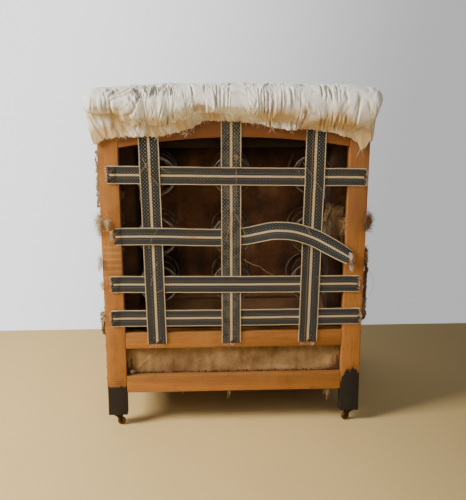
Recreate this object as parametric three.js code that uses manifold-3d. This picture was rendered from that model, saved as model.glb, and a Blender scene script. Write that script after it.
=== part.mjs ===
// Stripped armchair, seen mostly from behind: a beech frame on four small castors, with the
// outside covers gone. Webbing, springs, canvas and the stuffed pads stay as they were left.
// Millimetres, +Z up. The sitter faces -Y. The sitter's left hand is on the +X side.
// The origin is on the floor, under the middle of the whole chair.

import * as THREE from 'three';
import { mergeVertices } from 'three/addons/utils/BufferGeometryUtils.js';
import Module from 'manifold-3d';

const wasm = await Module();
wasm.setup();

// Overall
const OVERALL_DEPTH = 774;
const OVERALL_WIDTH = 756;
const FIT_GAP = 0.3;

// Back frame
const ROLL_SIDE_OVERHANG = 33.5;
const FRAME_WIDTH = OVERALL_WIDTH - 2 * ROLL_SIDE_OVERHANG;
const POST_WIDTH = 52;
const FRAME_THICKNESS = 34;
const KNEE_HEIGHT = 250;
const BACK_RAKE = THREE.MathUtils.degToRad(4.2);
const TOP_RAIL_CORNER_HEIGHT = 766;
const TOP_RAIL_HEIGHT = 96;
const TOP_RAIL_ARCH_RISE = 25;
const POST_TOP = TOP_RAIL_CORNER_HEIGHT + TOP_RAIL_HEIGHT;
const TACKING_RAIL_BOTTOM = 223;
const TACKING_RAIL_HEIGHT = 45;
const SEAT_RAIL_BOTTOM = 97;
const SEAT_RAIL_HEIGHT = 48;

// Sides and front of the frame
const SIDE_RAIL_THICKNESS = 32;
const FRONT_COVER_THICKNESS = 14;
const ARM_RAIL_BOTTOM = 538;
const ARM_RAIL_HEIGHT = 40;
const ARM_TACKING_RAIL_BOTTOM = 300;
const ARM_TACKING_RAIL_HEIGHT = 26;
const ARM_TACKING_RAIL_THICKNESS = 22;
const LEG_TAPER = 5;

// Webbing
const WEB_WIDTH = 51;
const CROSS_WEB_WIDTH = 46;
const WEB_THICKNESS = 1.8;
const WEB_FOLD_LENGTH = 22;
const SEAT_WEB_COUNT = 5;
const SEAT_WEB_OVERLAP = 24;

// Springs
const BACK_SPRING_DEPTH = 108;
const SEAT_SPRING_SIDE_MARGIN = 45;
const SEAT_SPRING_END_MARGIN = 12;
const BACK_SPRING_RADIUS = 50;
const BACK_SPRING_WAIST = 33;
const BACK_SPRING_TURNS = 4;
const SEAT_SPRING_RADIUS = 50;
const SEAT_SPRING_WAIST = 30;
const SEAT_SPRING_TURNS = 5;
const SPRING_WIRE = 3.6;
const SPRING_SIDES = 5;
const SPRING_STEPS_PER_TURN = 8;

// Stuffed pieces
const HESSIAN_THICKNESS = 2.4;
const BACK_PAD_THICKNESS = 62;
const BACK_CROWN = 16;
const BACK_BELLY = 4;
const ROLL_RISE = 59;
const ROLL_TOP = POST_TOP + ROLL_RISE;
const ROLL_OVERHANG = 42;
const ROLL_GATHER_DEPTH = 3.5;
const ROLL_STATIONS = 57;
const CALICO_THICKNESS = 3;
const SEAT_PAD_BOTTOM = 285;
const SEAT_PAD_EDGE_TOP = 402;
const SEAT_SAG = 44;
const SEAT_CROWN = 9;
const SEAT_SIDE_ROUND = 14;
const ARM_PAD_TOP = 604;
const ARM_INNER_THICKNESS = 31;
const ARM_OUTER_ROLL = 17;
const ARM_ROLL_DROP = 62;
const PAD_CLEARANCE = 2;
const COVER_BOTTOM = 108;

// Castors
const CASTOR_HEIGHT = 32;
const CASTOR_PLATE_RADIUS = 15;
const CASTOR_PLATE_THICKNESS = 3;
const PIVOT_RADIUS = 3;
const PIVOT_HEAD_RADIUS = 4.6;
const PIVOT_HEAD_THICKNESS = 1.4;
const CASTOR_RUNNING_GAP = 0.4;
const HORN_BRIDGE_RADIUS = 10;
const HORN_BRIDGE_THICKNESS = 2.6;
const HORN_CHEEK_THICKNESS = 1.8;
const HORN_BOSS_RADIUS = 4.6;
const HORN_SIDE_GAP = 0.6;
const AXLE_RADIUS = 1.8;
const WHEEL_RADIUS = 11;
const WHEEL_WIDTH = 9;
const WHEEL_EDGE_ROUND = 1.3;
const WHEEL_FACETS = 18;
const CASTOR_TRAIL = 8;
const CASTOR_YAWS = { back_left: 172, back_right: 12, front_left: -64, front_right: -118 };

// Values that follow from the sizes above
const HALF_FRAME = FRAME_WIDTH / 2;
const HALF_INNER = HALF_FRAME - POST_WIDTH;
const backLength = (POST_TOP - KNEE_HEIGHT) / Math.cos(BACK_RAKE);
const rollTopAlong = (ROLL_TOP - KNEE_HEIGHT) / Math.cos(BACK_RAKE);
const rollBulgeAlong = rollTopAlong - 46;
const BACK_Y = OVERALL_DEPTH / 2
	- ROLL_OVERHANG * Math.cos(BACK_RAKE) - rollBulgeAlong * Math.sin(BACK_RAKE);
const BACK_FRONT_Y = BACK_Y - FRAME_THICKNESS;
const CHAIR_FRONT_Y = -OVERALL_DEPTH / 2;
const FRONT_POST_Y = CHAIR_FRONT_Y + FRONT_COVER_THICKNESS;
const FRONT_POST_REAR_Y = FRONT_POST_Y + FRAME_THICKNESS;
const alongBack = (height) => (height - KNEE_HEIGHT) / Math.cos(BACK_RAKE);

const wood = { color: 0xa8703a, roughness: 0.55 };
const calico = { color: 0xcdc9bd, roughness: 0.9 };
const hessian = { color: 0x89653a, roughness: 0.95 };
const webbing = { color: 0x55524a, roughness: 0.85 };
const springSteel = { color: 0x4b443c, roughness: 0.5, metalness: 0.8 };
const castorBrass = { color: 0x6e5130, roughness: 0.45, metalness: 0.8 };
const castorIron = { color: 0x2b2622, roughness: 0.55, metalness: 0.7 };

const chair = new THREE.Group();

// Everything on the leaning back hangs in this group: x across, y out of the back, z up along it.
const leaningBack = new THREE.Group();
leaningBack.position.set(0, BACK_Y, KNEE_HEIGHT);
leaningBack.rotation.x = -BACK_RAKE;
chair.add(leaningBack);

// Shared shape helpers

function addMesh(parent, name, geometry, finish) {
	const mesh = new THREE.Mesh(geometry, new THREE.MeshStandardMaterial(finish));
	mesh.name = name;
	parent.add(mesh);
	return mesh;
}

function boxGeometry(low, high) {
	const size = high.map((value, i) => value - low[i]);
	const centre = high.map((value, i) => (value + low[i]) / 2);
	return new THREE.BoxGeometry(...size).translate(...centre);
}

function toSolid(geometry) {
	const bare = geometry.clone();
	bare.deleteAttribute('normal');
	bare.deleteAttribute('uv');
	const merged = mergeVertices(bare, 1e-4);
	const vertProperties = new Float32Array(merged.attributes.position.array);
	const triVerts = new Uint32Array(merged.index.array);
	return new wasm.Manifold(new wasm.Mesh({ numProp: 3, vertProperties, triVerts }));
}

function toGeometry(solid) {
	const { numProp, vertProperties, triVerts } = solid.getMesh();
	const positions = new Float32Array((vertProperties.length / numProp) * 3);
	for (let i = 0; i < positions.length / 3; i++) {
		for (let k = 0; k < 3; k++) positions[3 * i + k] = vertProperties[numProp * i + k];
	}
	const geometry = new THREE.BufferGeometry();
	geometry.setAttribute('position', new THREE.BufferAttribute(positions, 3));
	geometry.setIndex(new THREE.BufferAttribute(new Uint32Array(triVerts), 1));
	geometry.computeVertexNormals();
	return geometry;
}

function cut(geometry, ...tools) {
	return toGeometry(tools.reduce((solid, tool) => solid.subtract(toSolid(tool)), toSolid(geometry)));
}

function join(first, ...others) {
	return toGeometry(others.reduce((solid, other) => solid.add(toSolid(other)), toSolid(first)));
}

// A shape given in the chair's own frame, as it lies in the leaning back's frame.
function intoLeaningBack(geometry) {
	return geometry.translate(0, -BACK_Y, -KNEE_HEIGHT).rotateX(BACK_RAKE);
}

// A (y, z) outline pushed across the chair from x = low to x = high.
function acrossX(outline, low, high) {
	const shape = new THREE.Shape(outline.map(([y, z]) => new THREE.Vector2(y, z)));
	const geometry = new THREE.ExtrudeGeometry(shape, { depth: high - low, bevelEnabled: false });
	const yzToXyz = new THREE.Matrix4().set(0, 0, 1, low, 1, 0, 0, 0, 0, 1, 0, 0, 0, 0, 0, 1);
	return geometry.applyMatrix4(yzToXyz);
}

// A solid skinned over flat outlines that all have the same number of points.
function skinned(outlines, placePoint) {
	const count = outlines[0].length;
	const positions = outlines.flatMap((outline, s) => outline.flatMap((point) => placePoint(point, s)));
	const index = [];
	for (let s = 0; s < outlines.length - 1; s++) {
		for (let i = 0; i < count; i++) {
			const next = (i + 1) % count;
			const [a, b, c, d] = [s * count + i, s * count + next, (s + 1) * count + next, (s + 1) * count + i];
			index.push(a, b, c, a, c, d);
		}
	}
	for (const end of [0, outlines.length - 1]) {
		const flat = outlines[end].map(([a, b]) => new THREE.Vector2(a, b));
		const turned = THREE.ShapeUtils.area(flat) > 0 ? end === 0 : end !== 0;
		for (const [a, b, c] of THREE.ShapeUtils.triangulateShape(flat, [])) {
			const corner = turned ? [a, c, b] : [a, b, c];
			index.push(...corner.map((k) => k + end * count));
		}
	}
	const geometry = new THREE.BufferGeometry();
	geometry.setAttribute('position', new THREE.BufferAttribute(new Float32Array(positions), 3));
	geometry.setIndex(index);
	return facingOut(geometry);
}

function facingOut(geometry) {
	const p = geometry.attributes.position;
	const index = geometry.index.array;
	const [a, b, c] = [new THREE.Vector3(), new THREE.Vector3(), new THREE.Vector3()];
	let volume = 0;
	for (let i = 0; i < index.length; i += 3) {
		a.fromBufferAttribute(p, index[i]);
		b.fromBufferAttribute(p, index[i + 1]);
		c.fromBufferAttribute(p, index[i + 2]);
		volume += a.dot(b.cross(c));
	}
	if (volume < 0) geometry.setIndex(Array.from(index).reverse());
	geometry.computeVertexNormals();
	return geometry;
}

// A flat strap laid along a path. Each path point is [x, y, z, twist in degrees].
function strapGeometry(path, width, thickness, widthAxis) {
	const points = path.map(([x, y, z]) => new THREE.Vector3(x, y, z));
	const corners = [[-1, -1], [1, -1], [1, 1], [-1, 1]];
	const positions = [];
	points.forEach((point, i) => {
		const before = points[Math.max(i - 1, 0)];
		const after = points[Math.min(i + 1, points.length - 1)];
		const along = after.clone().sub(before).normalize();
		const twist = THREE.MathUtils.degToRad(path[i][3] ?? 0);
		const side = widthAxis.clone().addScaledVector(along, -widthAxis.dot(along)).normalize();
		side.applyAxisAngle(along, twist);
		const out = new THREE.Vector3().crossVectors(along, side);
		for (const [u, v] of corners) {
			const corner = point.clone();
			corner.addScaledVector(side, u * width / 2).addScaledVector(out, v * thickness / 2);
			positions.push(corner.x, corner.y, corner.z);
		}
	});
	const index = [0, 1, 2, 0, 2, 3];
	const last = (points.length - 1) * 4;
	index.push(last, last + 2, last + 1, last, last + 3, last + 2);
	for (let s = 0; s < points.length - 1; s++) {
		for (let i = 0; i < 4; i++) {
			const next = (i + 1) % 4;
			const [a, b, c, d] = [s * 4 + i, s * 4 + next, s * 4 + 4 + next, s * 4 + 4 + i];
			index.push(a, c, b, a, d, c);
		}
	}
	const geometry = new THREE.BufferGeometry();
	geometry.setAttribute('position', new THREE.BufferAttribute(new Float32Array(positions), 3));
	geometry.setIndex(index);
	return facingOut(geometry);
}

// Beech frame

// The outline in (y, z) of everything behind the front faces of the back posts, grown by a gap.
function behindFrontFaces(gap) {
	const half = Math.tan(BACK_RAKE / 2);
	const front = BACK_FRONT_Y - gap;
	const kneeZ = KNEE_HEIGHT + (FRAME_THICKNESS + gap) * half;
	const reach = POST_TOP;
	const topZ = kneeZ + reach * Math.cos(BACK_RAKE);
	const topY = front + reach * Math.sin(BACK_RAKE);
	return [[front, -reach], [front, kneeZ], [topY, topZ], [OVERALL_DEPTH, topZ], [OVERALL_DEPTH, -reach]];
}

function backPostGeometry(low, high) {
	const [sine, cosine] = [Math.sin(BACK_RAKE), Math.cos(BACK_RAKE)];
	const rearTop = [BACK_Y + backLength * sine, KNEE_HEIGHT + backLength * cosine];
	const frontTop = [rearTop[0] - FRAME_THICKNESS * cosine, rearTop[1] + FRAME_THICKNESS * sine];
	const kneeFront = KNEE_HEIGHT + FRAME_THICKNESS * Math.tan(BACK_RAKE / 2);
	return acrossX([
		[BACK_Y, CASTOR_HEIGHT], [BACK_Y, KNEE_HEIGHT], rearTop, frontTop, [BACK_FRONT_Y, kneeFront],
		[BACK_FRONT_Y, SEAT_RAIL_BOTTOM], [BACK_FRONT_Y + LEG_TAPER, CASTOR_HEIGHT],
	], low, high);
}

function frontPostGeometry(low, high) {
	return acrossX([
		[FRONT_POST_Y, CASTOR_HEIGHT], [FRONT_POST_REAR_Y - LEG_TAPER, CASTOR_HEIGHT],
		[FRONT_POST_REAR_Y, SEAT_RAIL_BOTTOM], [FRONT_POST_REAR_Y, ARM_RAIL_BOTTOM + ARM_RAIL_HEIGHT],
		[FRONT_POST_Y, ARM_RAIL_BOTTOM + ARM_RAIL_HEIGHT],
	], low, high);
}

// The top rail's lower edge is an arch between its two corners.
function topRailGeometry() {
	const half = HALF_INNER - FIT_GAP;
	const corner = alongBack(TOP_RAIL_CORNER_HEIGHT);
	const outline = new THREE.Shape();
	outline.moveTo(-half, corner);
	outline.quadraticCurveTo(0, corner + 2 * TOP_RAIL_ARCH_RISE, half, corner);
	outline.lineTo(half, backLength);
	outline.lineTo(-half, backLength);
	outline.closePath();
	const options = { depth: FRAME_THICKNESS, bevelEnabled: false, curveSegments: 12 };
	return new THREE.ExtrudeGeometry(outline, options).rotateX(Math.PI / 2);
}

function buildFrame() {
	const sides = { left: 1, right: -1 };
	for (const [side, sign] of Object.entries(sides)) {
		const [low, high] = sign > 0 ? [HALF_INNER, HALF_FRAME] : [-HALF_FRAME, -HALF_INNER];
		addMesh(chair, `back_post_${side}`, backPostGeometry(low, high), wood);
		addMesh(chair, `front_post_${side}`, frontPostGeometry(low, high), wood);
		sideRails(side, sign);
	}
	addMesh(leaningBack, 'top_rail', topRailGeometry(), wood);
	const half = HALF_INNER - FIT_GAP;
	const rails = {
		back_tacking_rail: [TACKING_RAIL_BOTTOM, TACKING_RAIL_HEIGHT, BACK_FRONT_Y],
		back_seat_rail: [SEAT_RAIL_BOTTOM, SEAT_RAIL_HEIGHT, BACK_FRONT_Y],
		front_seat_rail: [SEAT_RAIL_BOTTOM, SEAT_RAIL_HEIGHT, FRONT_POST_Y],
	};
	for (const [name, [bottom, height, y]] of Object.entries(rails)) {
		const rail = boxGeometry([-half, y, bottom], [half, y + FRAME_THICKNESS, bottom + height]);
		addMesh(chair, name, rail, wood);
	}
}

function sideRails(side, sign) {
	const rails = {
		side_seat_rail: [SIDE_RAIL_THICKNESS, SEAT_RAIL_BOTTOM, SEAT_RAIL_HEIGHT],
		arm_tacking_rail: [ARM_TACKING_RAIL_THICKNESS, ARM_TACKING_RAIL_BOTTOM, ARM_TACKING_RAIL_HEIGHT],
		arm_rail: [POST_WIDTH, ARM_RAIL_BOTTOM, ARM_RAIL_HEIGHT],
	};
	for (const [name, [thickness, bottom, height]] of Object.entries(rails)) {
		const [inner, outer] = [HALF_FRAME - thickness, HALF_FRAME];
		const [low, high] = sign > 0 ? [inner, outer] : [-outer, -inner];
		const rail = boxGeometry(
			[low, FRONT_POST_REAR_Y + FIT_GAP, bottom], [high, BACK_Y + FRAME_THICKNESS, bottom + height]);
		const trimmed = cut(rail, acrossX(behindFrontFaces(FIT_GAP), -HALF_FRAME - 1, HALF_FRAME + 1));
		addMesh(chair, `${name}_${side}`, trimmed, wood);
	}
}

// Back webbing, in the leaning back's own frame

const crossLevel = FIT_GAP + WEB_THICKNESS / 2;
const webPitch = WEB_THICKNESS + FIT_GAP;
const overLevel = crossLevel + webPitch;
const underLevel = crossLevel - webPitch;

const tackingRailTop = TACKING_RAIL_BOTTOM + TACKING_RAIL_HEIGHT;
const openingHeight = TOP_RAIL_CORNER_HEIGHT - tackingRailTop;

// A web's ends stop this far short of the outsides of the posts.
const crossWebs = {
	back_web_cross_1: {
		leftMargin: 18.5, leftHeight: TOP_RAIL_CORNER_HEIGHT - 67,
		rightMargin: 3.5, rightHeight: TOP_RAIL_CORNER_HEIGHT - 79,
	},
	back_web_cross_3: {
		leftMargin: 16.5, leftHeight: tackingRailTop + openingHeight * 0.2791,
		rightMargin: 9.5, rightHeight: tackingRailTop + openingHeight * 0.2651,
	},
	back_web_cross_4: {
		leftMargin: 13.5, leftHeight: tackingRailTop + 43,
		rightMargin: 3.5, rightHeight: tackingRailTop + 40,
	},
};
const looseWebHeight = tackingRailTop + openingHeight * 0.5321;

// The upright webs pass over (1) or under (-1) the cross webs, named from the top down. Their
// places across the back are shares of half the frame's width.
const uprightWebs = {
	back_web_upright_left: { top: 0.6299, bottom: 0.6009, weave: [1, -1, 1, 1] },
	back_web_upright_middle: { top: 0.0261, bottom: 0.0232, weave: [-1, 1, -1, 1] },
	back_web_upright_right: { top: -0.6009, bottom: -0.5776, weave: [1, -1, 1, 1] },
};
const UPRIGHT_TOP = POST_TOP - 16;
const UPRIGHT_BOTTOM = TACKING_RAIL_BOTTOM + 10;

const crossCentre = (name) => {
	const web = crossWebs[name];
	return web ? (web.leftHeight + web.rightHeight) / 2 : looseWebHeight;
};
const crossingHeights = [1, 2, 3, 4].map((n) => crossCentre(`back_web_cross_${n}`));

// A web's end is turned back on itself under the tacks.
function withFoldedEnds(path, width, widthAxis, ends) {
	let geometry = strapGeometry(path, width, WEB_THICKNESS, widthAxis);
	for (const end of ends) {
		const [from, to] = end === 0 ? [path[0], path[1]] : [path.at(-1), path.at(-2)];
		const start = new THREE.Vector3(from[0], from[1], from[2]);
		const direction = new THREE.Vector3(to[0], to[1], to[2]).sub(start).normalize();
		const finish = start.clone().addScaledVector(direction, WEB_FOLD_LENGTH);
		const lift = WEB_THICKNESS * 0.9;
		const fold = [[start.x, start.y + lift, start.z], [finish.x, finish.y + lift, finish.z]];
		geometry = join(geometry, strapGeometry(fold, width, WEB_THICKNESS, widthAxis));
	}
	return geometry;
}

function buildBackWebbing() {
	const up = new THREE.Vector3(0, 0, 1);
	const across = new THREE.Vector3(1, 0, 0);
	for (const [name, web] of Object.entries(crossWebs)) {
		const path = [
			[HALF_FRAME - web.leftMargin, crossLevel, alongBack(web.leftHeight)],
			[web.rightMargin - HALF_FRAME, crossLevel, alongBack(web.rightHeight)],
		];
		addMesh(leaningBack, name, withFoldedEnds(path, CROSS_WEB_WIDTH, up, [0, 1]), webbing);
	}
	const flat = CROSS_WEB_WIDTH / 2 + 7;
	for (const [name, web] of Object.entries(uprightWebs)) {
		const point = (height, level) => {
			const share = THREE.MathUtils.mapLinear(height, UPRIGHT_TOP, UPRIGHT_BOTTOM, web.top, web.bottom);
			return [share * HALF_FRAME, level, alongBack(height)];
		};
		const path = [point(UPRIGHT_TOP, crossLevel), point(TOP_RAIL_CORNER_HEIGHT, crossLevel)];
		crossingHeights.forEach((height, i) => {
			const level = web.weave[i] > 0 ? overLevel : underLevel;
			path.push(point(height + flat, level), point(height - flat, level));
		});
		path.push(point(tackingRailTop, crossLevel), point(UPRIGHT_BOTTOM, crossLevel));
		const geometry = withFoldedEnds(path, WEB_WIDTH, across, [0, 1]);
		const tackingRail = boxGeometry(
			[-HALF_FRAME, BACK_FRONT_Y, TACKING_RAIL_BOTTOM],
			[HALF_FRAME, BACK_Y + FIT_GAP, tackingRailTop]);
		addMesh(leaningBack, name, cut(geometry, intoLeaningBack(tackingRail)), webbing);
	}
	addMesh(leaningBack, 'back_web_cross_2_loose', looseWebGeometry(up), webbing);
}

// The second cross web has torn away at the right. It hangs slack and half turned over there.
// Each point: share of half the frame's width, level, rise above the web's height, twist.
function looseWebGeometry(up) {
	const points = [
		[0.9173, crossLevel, 3, 0], [0.8418, crossLevel, 4, 0], [0.7257, overLevel, 4, 0],
		[0.4819, overLevel, 3, 0], [0.3193, crossLevel, 0, 0], [0.1742, crossLevel, -2, 0],
		[-0.0755, crossLevel, 0, 0], [-0.18, overLevel, 8, -6], [-0.2903, overLevel + 3, 17, -14],
		[-0.4354, overLevel + 3, 15, -10], [-0.5951, overLevel + 3, -2, -6], [-0.7257, overLevel + 9, -26, -22],
		[-0.8128, overLevel + 15, -43, -38], [-0.8708, overLevel + 19, -54, -52],
	];
	const path = points.map(([share, y, rise, twist]) => {
		return [share * HALF_FRAME, y, alongBack(looseWebHeight + rise), twist];
	});
	return withFoldedEnds(path, CROSS_WEB_WIDTH, up, [0]);
}

// Springs

class SpringCurve extends THREE.Curve {
	constructor(height, endRadius, waistRadius, turns) {
		super();
		Object.assign(this, { height, endRadius, waistRadius, turns });
	}

	getPoint(t, target = new THREE.Vector3()) {
		const radius = this.endRadius - (this.endRadius - this.waistRadius) * Math.sin(Math.PI * t) ** 2;
		const angle = 2 * Math.PI * this.turns * t;
		const rise = t - 0.9 * Math.sin(2 * Math.PI * t) / (2 * Math.PI);
		return target.set(radius * Math.cos(angle), radius * Math.sin(angle), this.height * rise);
	}
}

function springGeometry(height, endRadius, waistRadius, turns) {
	const wire = new THREE.Shape();
	for (let i = 0; i < SPRING_SIDES; i++) {
		const angle = 2 * Math.PI * i / SPRING_SIDES;
		const [x, y] = [Math.cos(angle) * SPRING_WIRE / 2, Math.sin(angle) * SPRING_WIRE / 2];
		if (i === 0) wire.moveTo(x, y);
		else wire.lineTo(x, y);
	}
	wire.closePath();
	const extrudePath = new SpringCurve(height, endRadius, waistRadius, turns);
	const steps = Math.round(turns * SPRING_STEPS_PER_TURN);
	return new THREE.ExtrudeGeometry(wire, { steps, extrudePath, bevelEnabled: false });
}

const springSeat = SPRING_WIRE / 2 + FIT_GAP;
const canvasFloor = underLevel - WEB_THICKNESS / 2 - 2 * springSeat - BACK_SPRING_DEPTH;
const insideBackFront = canvasFloor - HESSIAN_THICKNESS - BACK_PAD_THICKNESS;
const seatRearY = BACK_Y + (insideBackFront - BACK_BELLY) * Math.cos(BACK_RAKE)
	+ alongBack(SEAT_PAD_EDGE_TOP) * Math.sin(BACK_RAKE) - PAD_CLEARANCE;

// Mouth and floor of the shallow tray that the back's spring canvas makes
const trayMouth = {
	half: HALF_INNER - ARM_INNER_THICKNESS - 4.5,
	low: alongBack(tackingRailTop) + 4,
	high: alongBack(TOP_RAIL_CORNER_HEIGHT) - 2,
};
const trayFloor = { half: trayMouth.half - 4, low: trayMouth.low + 48, high: trayMouth.high - 13 };

// Each back spring stands on a crossing of the webs and reaches to the canvas.
function buildBackSprings() {
	const side = trayFloor.half - BACK_SPRING_RADIUS - SPRING_WIRE;
	const columns = { left: side, middle: 6, right: -side };
	const weaves = Object.values(uprightWebs).map((web) => web.weave);
	Object.entries(columns).forEach(([name, x], column) => {
		for (let row = 0; row < 3; row++) {
			const onCross = weaves[column][row] > 0;
			const seatLevel = (onCross ? crossLevel : underLevel) - WEB_THICKNESS / 2 - springSeat;
			const length = seatLevel - canvasFloor - springSeat;
			const geometry = springGeometry(length, BACK_SPRING_RADIUS, BACK_SPRING_WAIST, BACK_SPRING_TURNS);
			geometry.rotateX(Math.PI / 2).translate(x, seatLevel, alongBack(crossingHeights[row]));
			addMesh(leaningBack, `back_spring_${name}_${row + 1}`, geometry, springSteel);
		}
	});
}

const seatWebTop = SEAT_RAIL_BOTTOM - FIT_GAP;
const seatWebSpan = {
	x: HALF_FRAME - SIDE_RAIL_THICKNESS,
	front: FRONT_POST_REAR_Y,
	rear: BACK_FRONT_Y,
};

function seatWebCentres(low, high) {
	const pitch = (high - low) / SEAT_WEB_COUNT;
	return Array.from({ length: SEAT_WEB_COUNT }, (_, i) => low + pitch * (i + 0.5));
}

// Two crossed rows of webs under the seat rails, drawn as one flat lattice.
function buildSeatWebbing() {
	const { x, front, rear } = seatWebSpan;
	const strips = [];
	for (const centre of seatWebCentres(-HALF_INNER, HALF_INNER)) {
		strips.push(boxGeometry(
			[centre - WEB_WIDTH / 2, front - SEAT_WEB_OVERLAP, seatWebTop - WEB_THICKNESS],
			[centre + WEB_WIDTH / 2, rear + SEAT_WEB_OVERLAP, seatWebTop]));
	}
	for (const centre of seatWebCentres(front + FIT_GAP, rear - FIT_GAP)) {
		strips.push(boxGeometry(
			[-x - SEAT_WEB_OVERLAP, centre - WEB_WIDTH / 2, seatWebTop - WEB_THICKNESS],
			[x + SEAT_WEB_OVERLAP, centre + WEB_WIDTH / 2, seatWebTop]));
	}
	addMesh(chair, 'seat_webbing', join(...strips), webbing);
}

function buildSeatSprings() {
	const side = HALF_INNER - ARM_INNER_THICKNESS - SEAT_SPRING_SIDE_MARGIN - SEAT_SPRING_RADIUS;
	const columns = { left: side, middle: 0, right: -side };
	const inset = SEAT_SPRING_RADIUS + SPRING_WIRE + SEAT_SPRING_END_MARGIN;
	const [front, rear] = [FRONT_POST_REAR_Y + inset, seatRearY - inset];
	const rows = { front, centre: (front + rear) / 2, rear };
	const low = seatWebTop + springSeat;
	const height = SEAT_PAD_BOTTOM - springSeat - low;
	for (const [column, x] of Object.entries(columns)) {
		for (const [row, y] of Object.entries(rows)) {
			const geometry = springGeometry(height, SEAT_SPRING_RADIUS, SEAT_SPRING_WAIST, SEAT_SPRING_TURNS);
			geometry.translate(x, y, low);
			addMesh(chair, `seat_spring_${column}_${row}`, geometry, springSteel);
		}
	}
}

// Spring canvas of the back: a shallow tray whose rim is tacked to the front of the frame

const rimWidth = 24;
const rimHalf = HALF_INNER + 18;
const RIM_NOTCH_MARGIN = 8;

// A block that narrows from the tray's mouth to its floor. Grow moves its walls out.
function trayBlock(grow, mouthLevel, floorLevel) {
	const outline = (half, low, high) => [
		[-half - grow, low - grow],
		[half + grow, low - grow],
		[half + grow, high + grow],
		[-half - grow, high + grow],
	];
	const levels = [mouthLevel, floorLevel];
	const outlines = [
		outline(trayMouth.half, trayMouth.low, trayMouth.high),
		outline(trayFloor.half, trayFloor.low, trayFloor.high),
	];
	return skinned(outlines, ([x, z], s) => [x, levels[s], z]);
}

const rimRear = -FRAME_THICKNESS - FIT_GAP;
const rimFront = rimRear - HESSIAN_THICKNESS;

function buildCanvas() {
	const outer = trayBlock(HESSIAN_THICKNESS, rimRear, canvasFloor - HESSIAN_THICKNESS);
	const inner = trayBlock(0, rimRear + 1, canvasFloor);
	const rim = boxGeometry(
		[-rimHalf, rimFront, trayMouth.low - rimWidth], [rimHalf, rimRear, trayMouth.high + rimWidth]);
	const notchHigh = alongBack(ARM_RAIL_BOTTOM + ARM_RAIL_HEIGHT) + RIM_NOTCH_MARGIN;
	const notchLow = alongBack(ARM_RAIL_BOTTOM) - RIM_NOTCH_MARGIN;
	const notches = [1, -1].map((sign) => boxGeometry(
		[sign > 0 ? HALF_INNER - FIT_GAP : -OVERALL_WIDTH, rimFront - 1, notchLow],
		[sign > 0 ? OVERALL_WIDTH : -HALF_INNER + FIT_GAP, rimRear + 1, notchHigh]));
	const railSpace = boxGeometry(
		[-HALF_FRAME, BACK_FRONT_Y - FIT_GAP, TACKING_RAIL_BOTTOM - FIT_GAP],
		[HALF_FRAME, BACK_Y, tackingRailTop + FIT_GAP]);
	const canvas = cut(join(outer, rim), inner, ...notches, intoLeaningBack(railSpace));
	addMesh(leaningBack, 'back_spring_canvas', canvas, hessian);
}

// Tan hessian closing the back of the seat, between the two lower rails
function buildSeatBackHessian() {
	const half = HALF_INNER - FIT_GAP;
	const low = SEAT_RAIL_BOTTOM + SEAT_RAIL_HEIGHT + FIT_GAP;
	const high = TACKING_RAIL_BOTTOM - FIT_GAP;
	const recess = 20;
	const belly = 5;
	const outlines = [-half, -half / 2, 0, half / 2, half].map((x) => {
		const push = belly * (1 - (x / half) ** 2);
		const middle = (low + high) / 2;
		const rear = BACK_Y - recess;
		return [
			[rear, low], [rear + push, middle], [rear, high],
			[rear - HESSIAN_THICKNESS, high], [rear + push - HESSIAN_THICKNESS, middle],
			[rear - HESSIAN_THICKNESS, low],
		];
	});
	const geometry = skinned(outlines, ([y, z], s) => [-half + s * half / 2, y, z]);
	addMesh(chair, 'seat_back_hessian', geometry, hessian);
}

// Inside back and top roll, covered in one piece of calico

// The calico's torn lower hem behind the top rail: share of half the chair's width, and how far
// below the posts' tops it ends.
const HEM = [
	[-1, -18], [-0.9577, 43], [-0.9074, 83], [-0.8492, 105], [-0.8148, 83], [-0.7513, 71], [-0.627, 58],
	[-0.4735, 50], [-0.3651, 52], [-0.2593, 47], [-0.1508, 36], [0.0238, 30], [0.1825, 28], [0.2884, 46],
	[0.3651, 57], [0.5, 67], [0.7566, 68], [0.8254, 72], [0.9259, 86], [0.9683, 62], [1, -18],
];

function hemHeight(x) {
	const share = 2 * x / OVERALL_WIDTH;
	const next = Math.max(1, HEM.findIndex(([at]) => at >= share));
	const [[share0, drop0], [share1, drop1]] = [HEM[next - 1], HEM[next]];
	return POST_TOP - THREE.MathUtils.mapLinear(share, share0, share1, drop0, drop1);
}

const flapInner = crossLevel + WEB_THICKNESS * 1.5 + FIT_GAP;

// Outline of the roll in (y, z) at one place across the chair. Its gathers open and close with x.
function rollOutline(x, gather) {
	const halfWidth = OVERALL_WIDTH / 2;
	const end = Math.sqrt(Math.max(0, 1 - Math.max(0, (Math.abs(x) - (halfWidth - 34)) / 34) ** 2));
	const shrink = 0.42 + 0.58 * end;
	const [midY, midZ] = [-30, rollTopAlong - 45];
	const hem = alongBack(hemHeight(THREE.MathUtils.clamp(x, -halfWidth + 1, halfWidth - 1)));
	const flapOuter = flapInner + CALICO_THICKNESS + gather / 2 + ROLL_GATHER_DEPTH / 2;
	const foldTop = midZ - 44;
	const hemTop = Math.min(hem, foldTop - 8);
	return [
		[-120, midZ - 60], [-152, midZ - 34], [-158, midZ], [-138, midZ + 25], [-100, midZ + 37],
		[-50, midZ + 41], [-5, midZ + 43], [22, midZ + 33 + gather], [36 + gather, midZ + 17],
		[ROLL_OVERHANG - ROLL_GATHER_DEPTH + gather, midZ - 1], [35 + gather, midZ - 22], [22 + gather, midZ - 36],
		[flapOuter + 4, foldTop], [flapOuter, hemTop], [flapInner, hemTop], [flapInner, midZ - 30],
		[-FRAME_THICKNESS - 30, midZ - 30], [-FRAME_THICKNESS - 34, midZ - 60],
	].map(([y, z]) => [midY + (y - midY) * shrink, midZ + (z - midZ) * shrink]);
}

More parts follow.
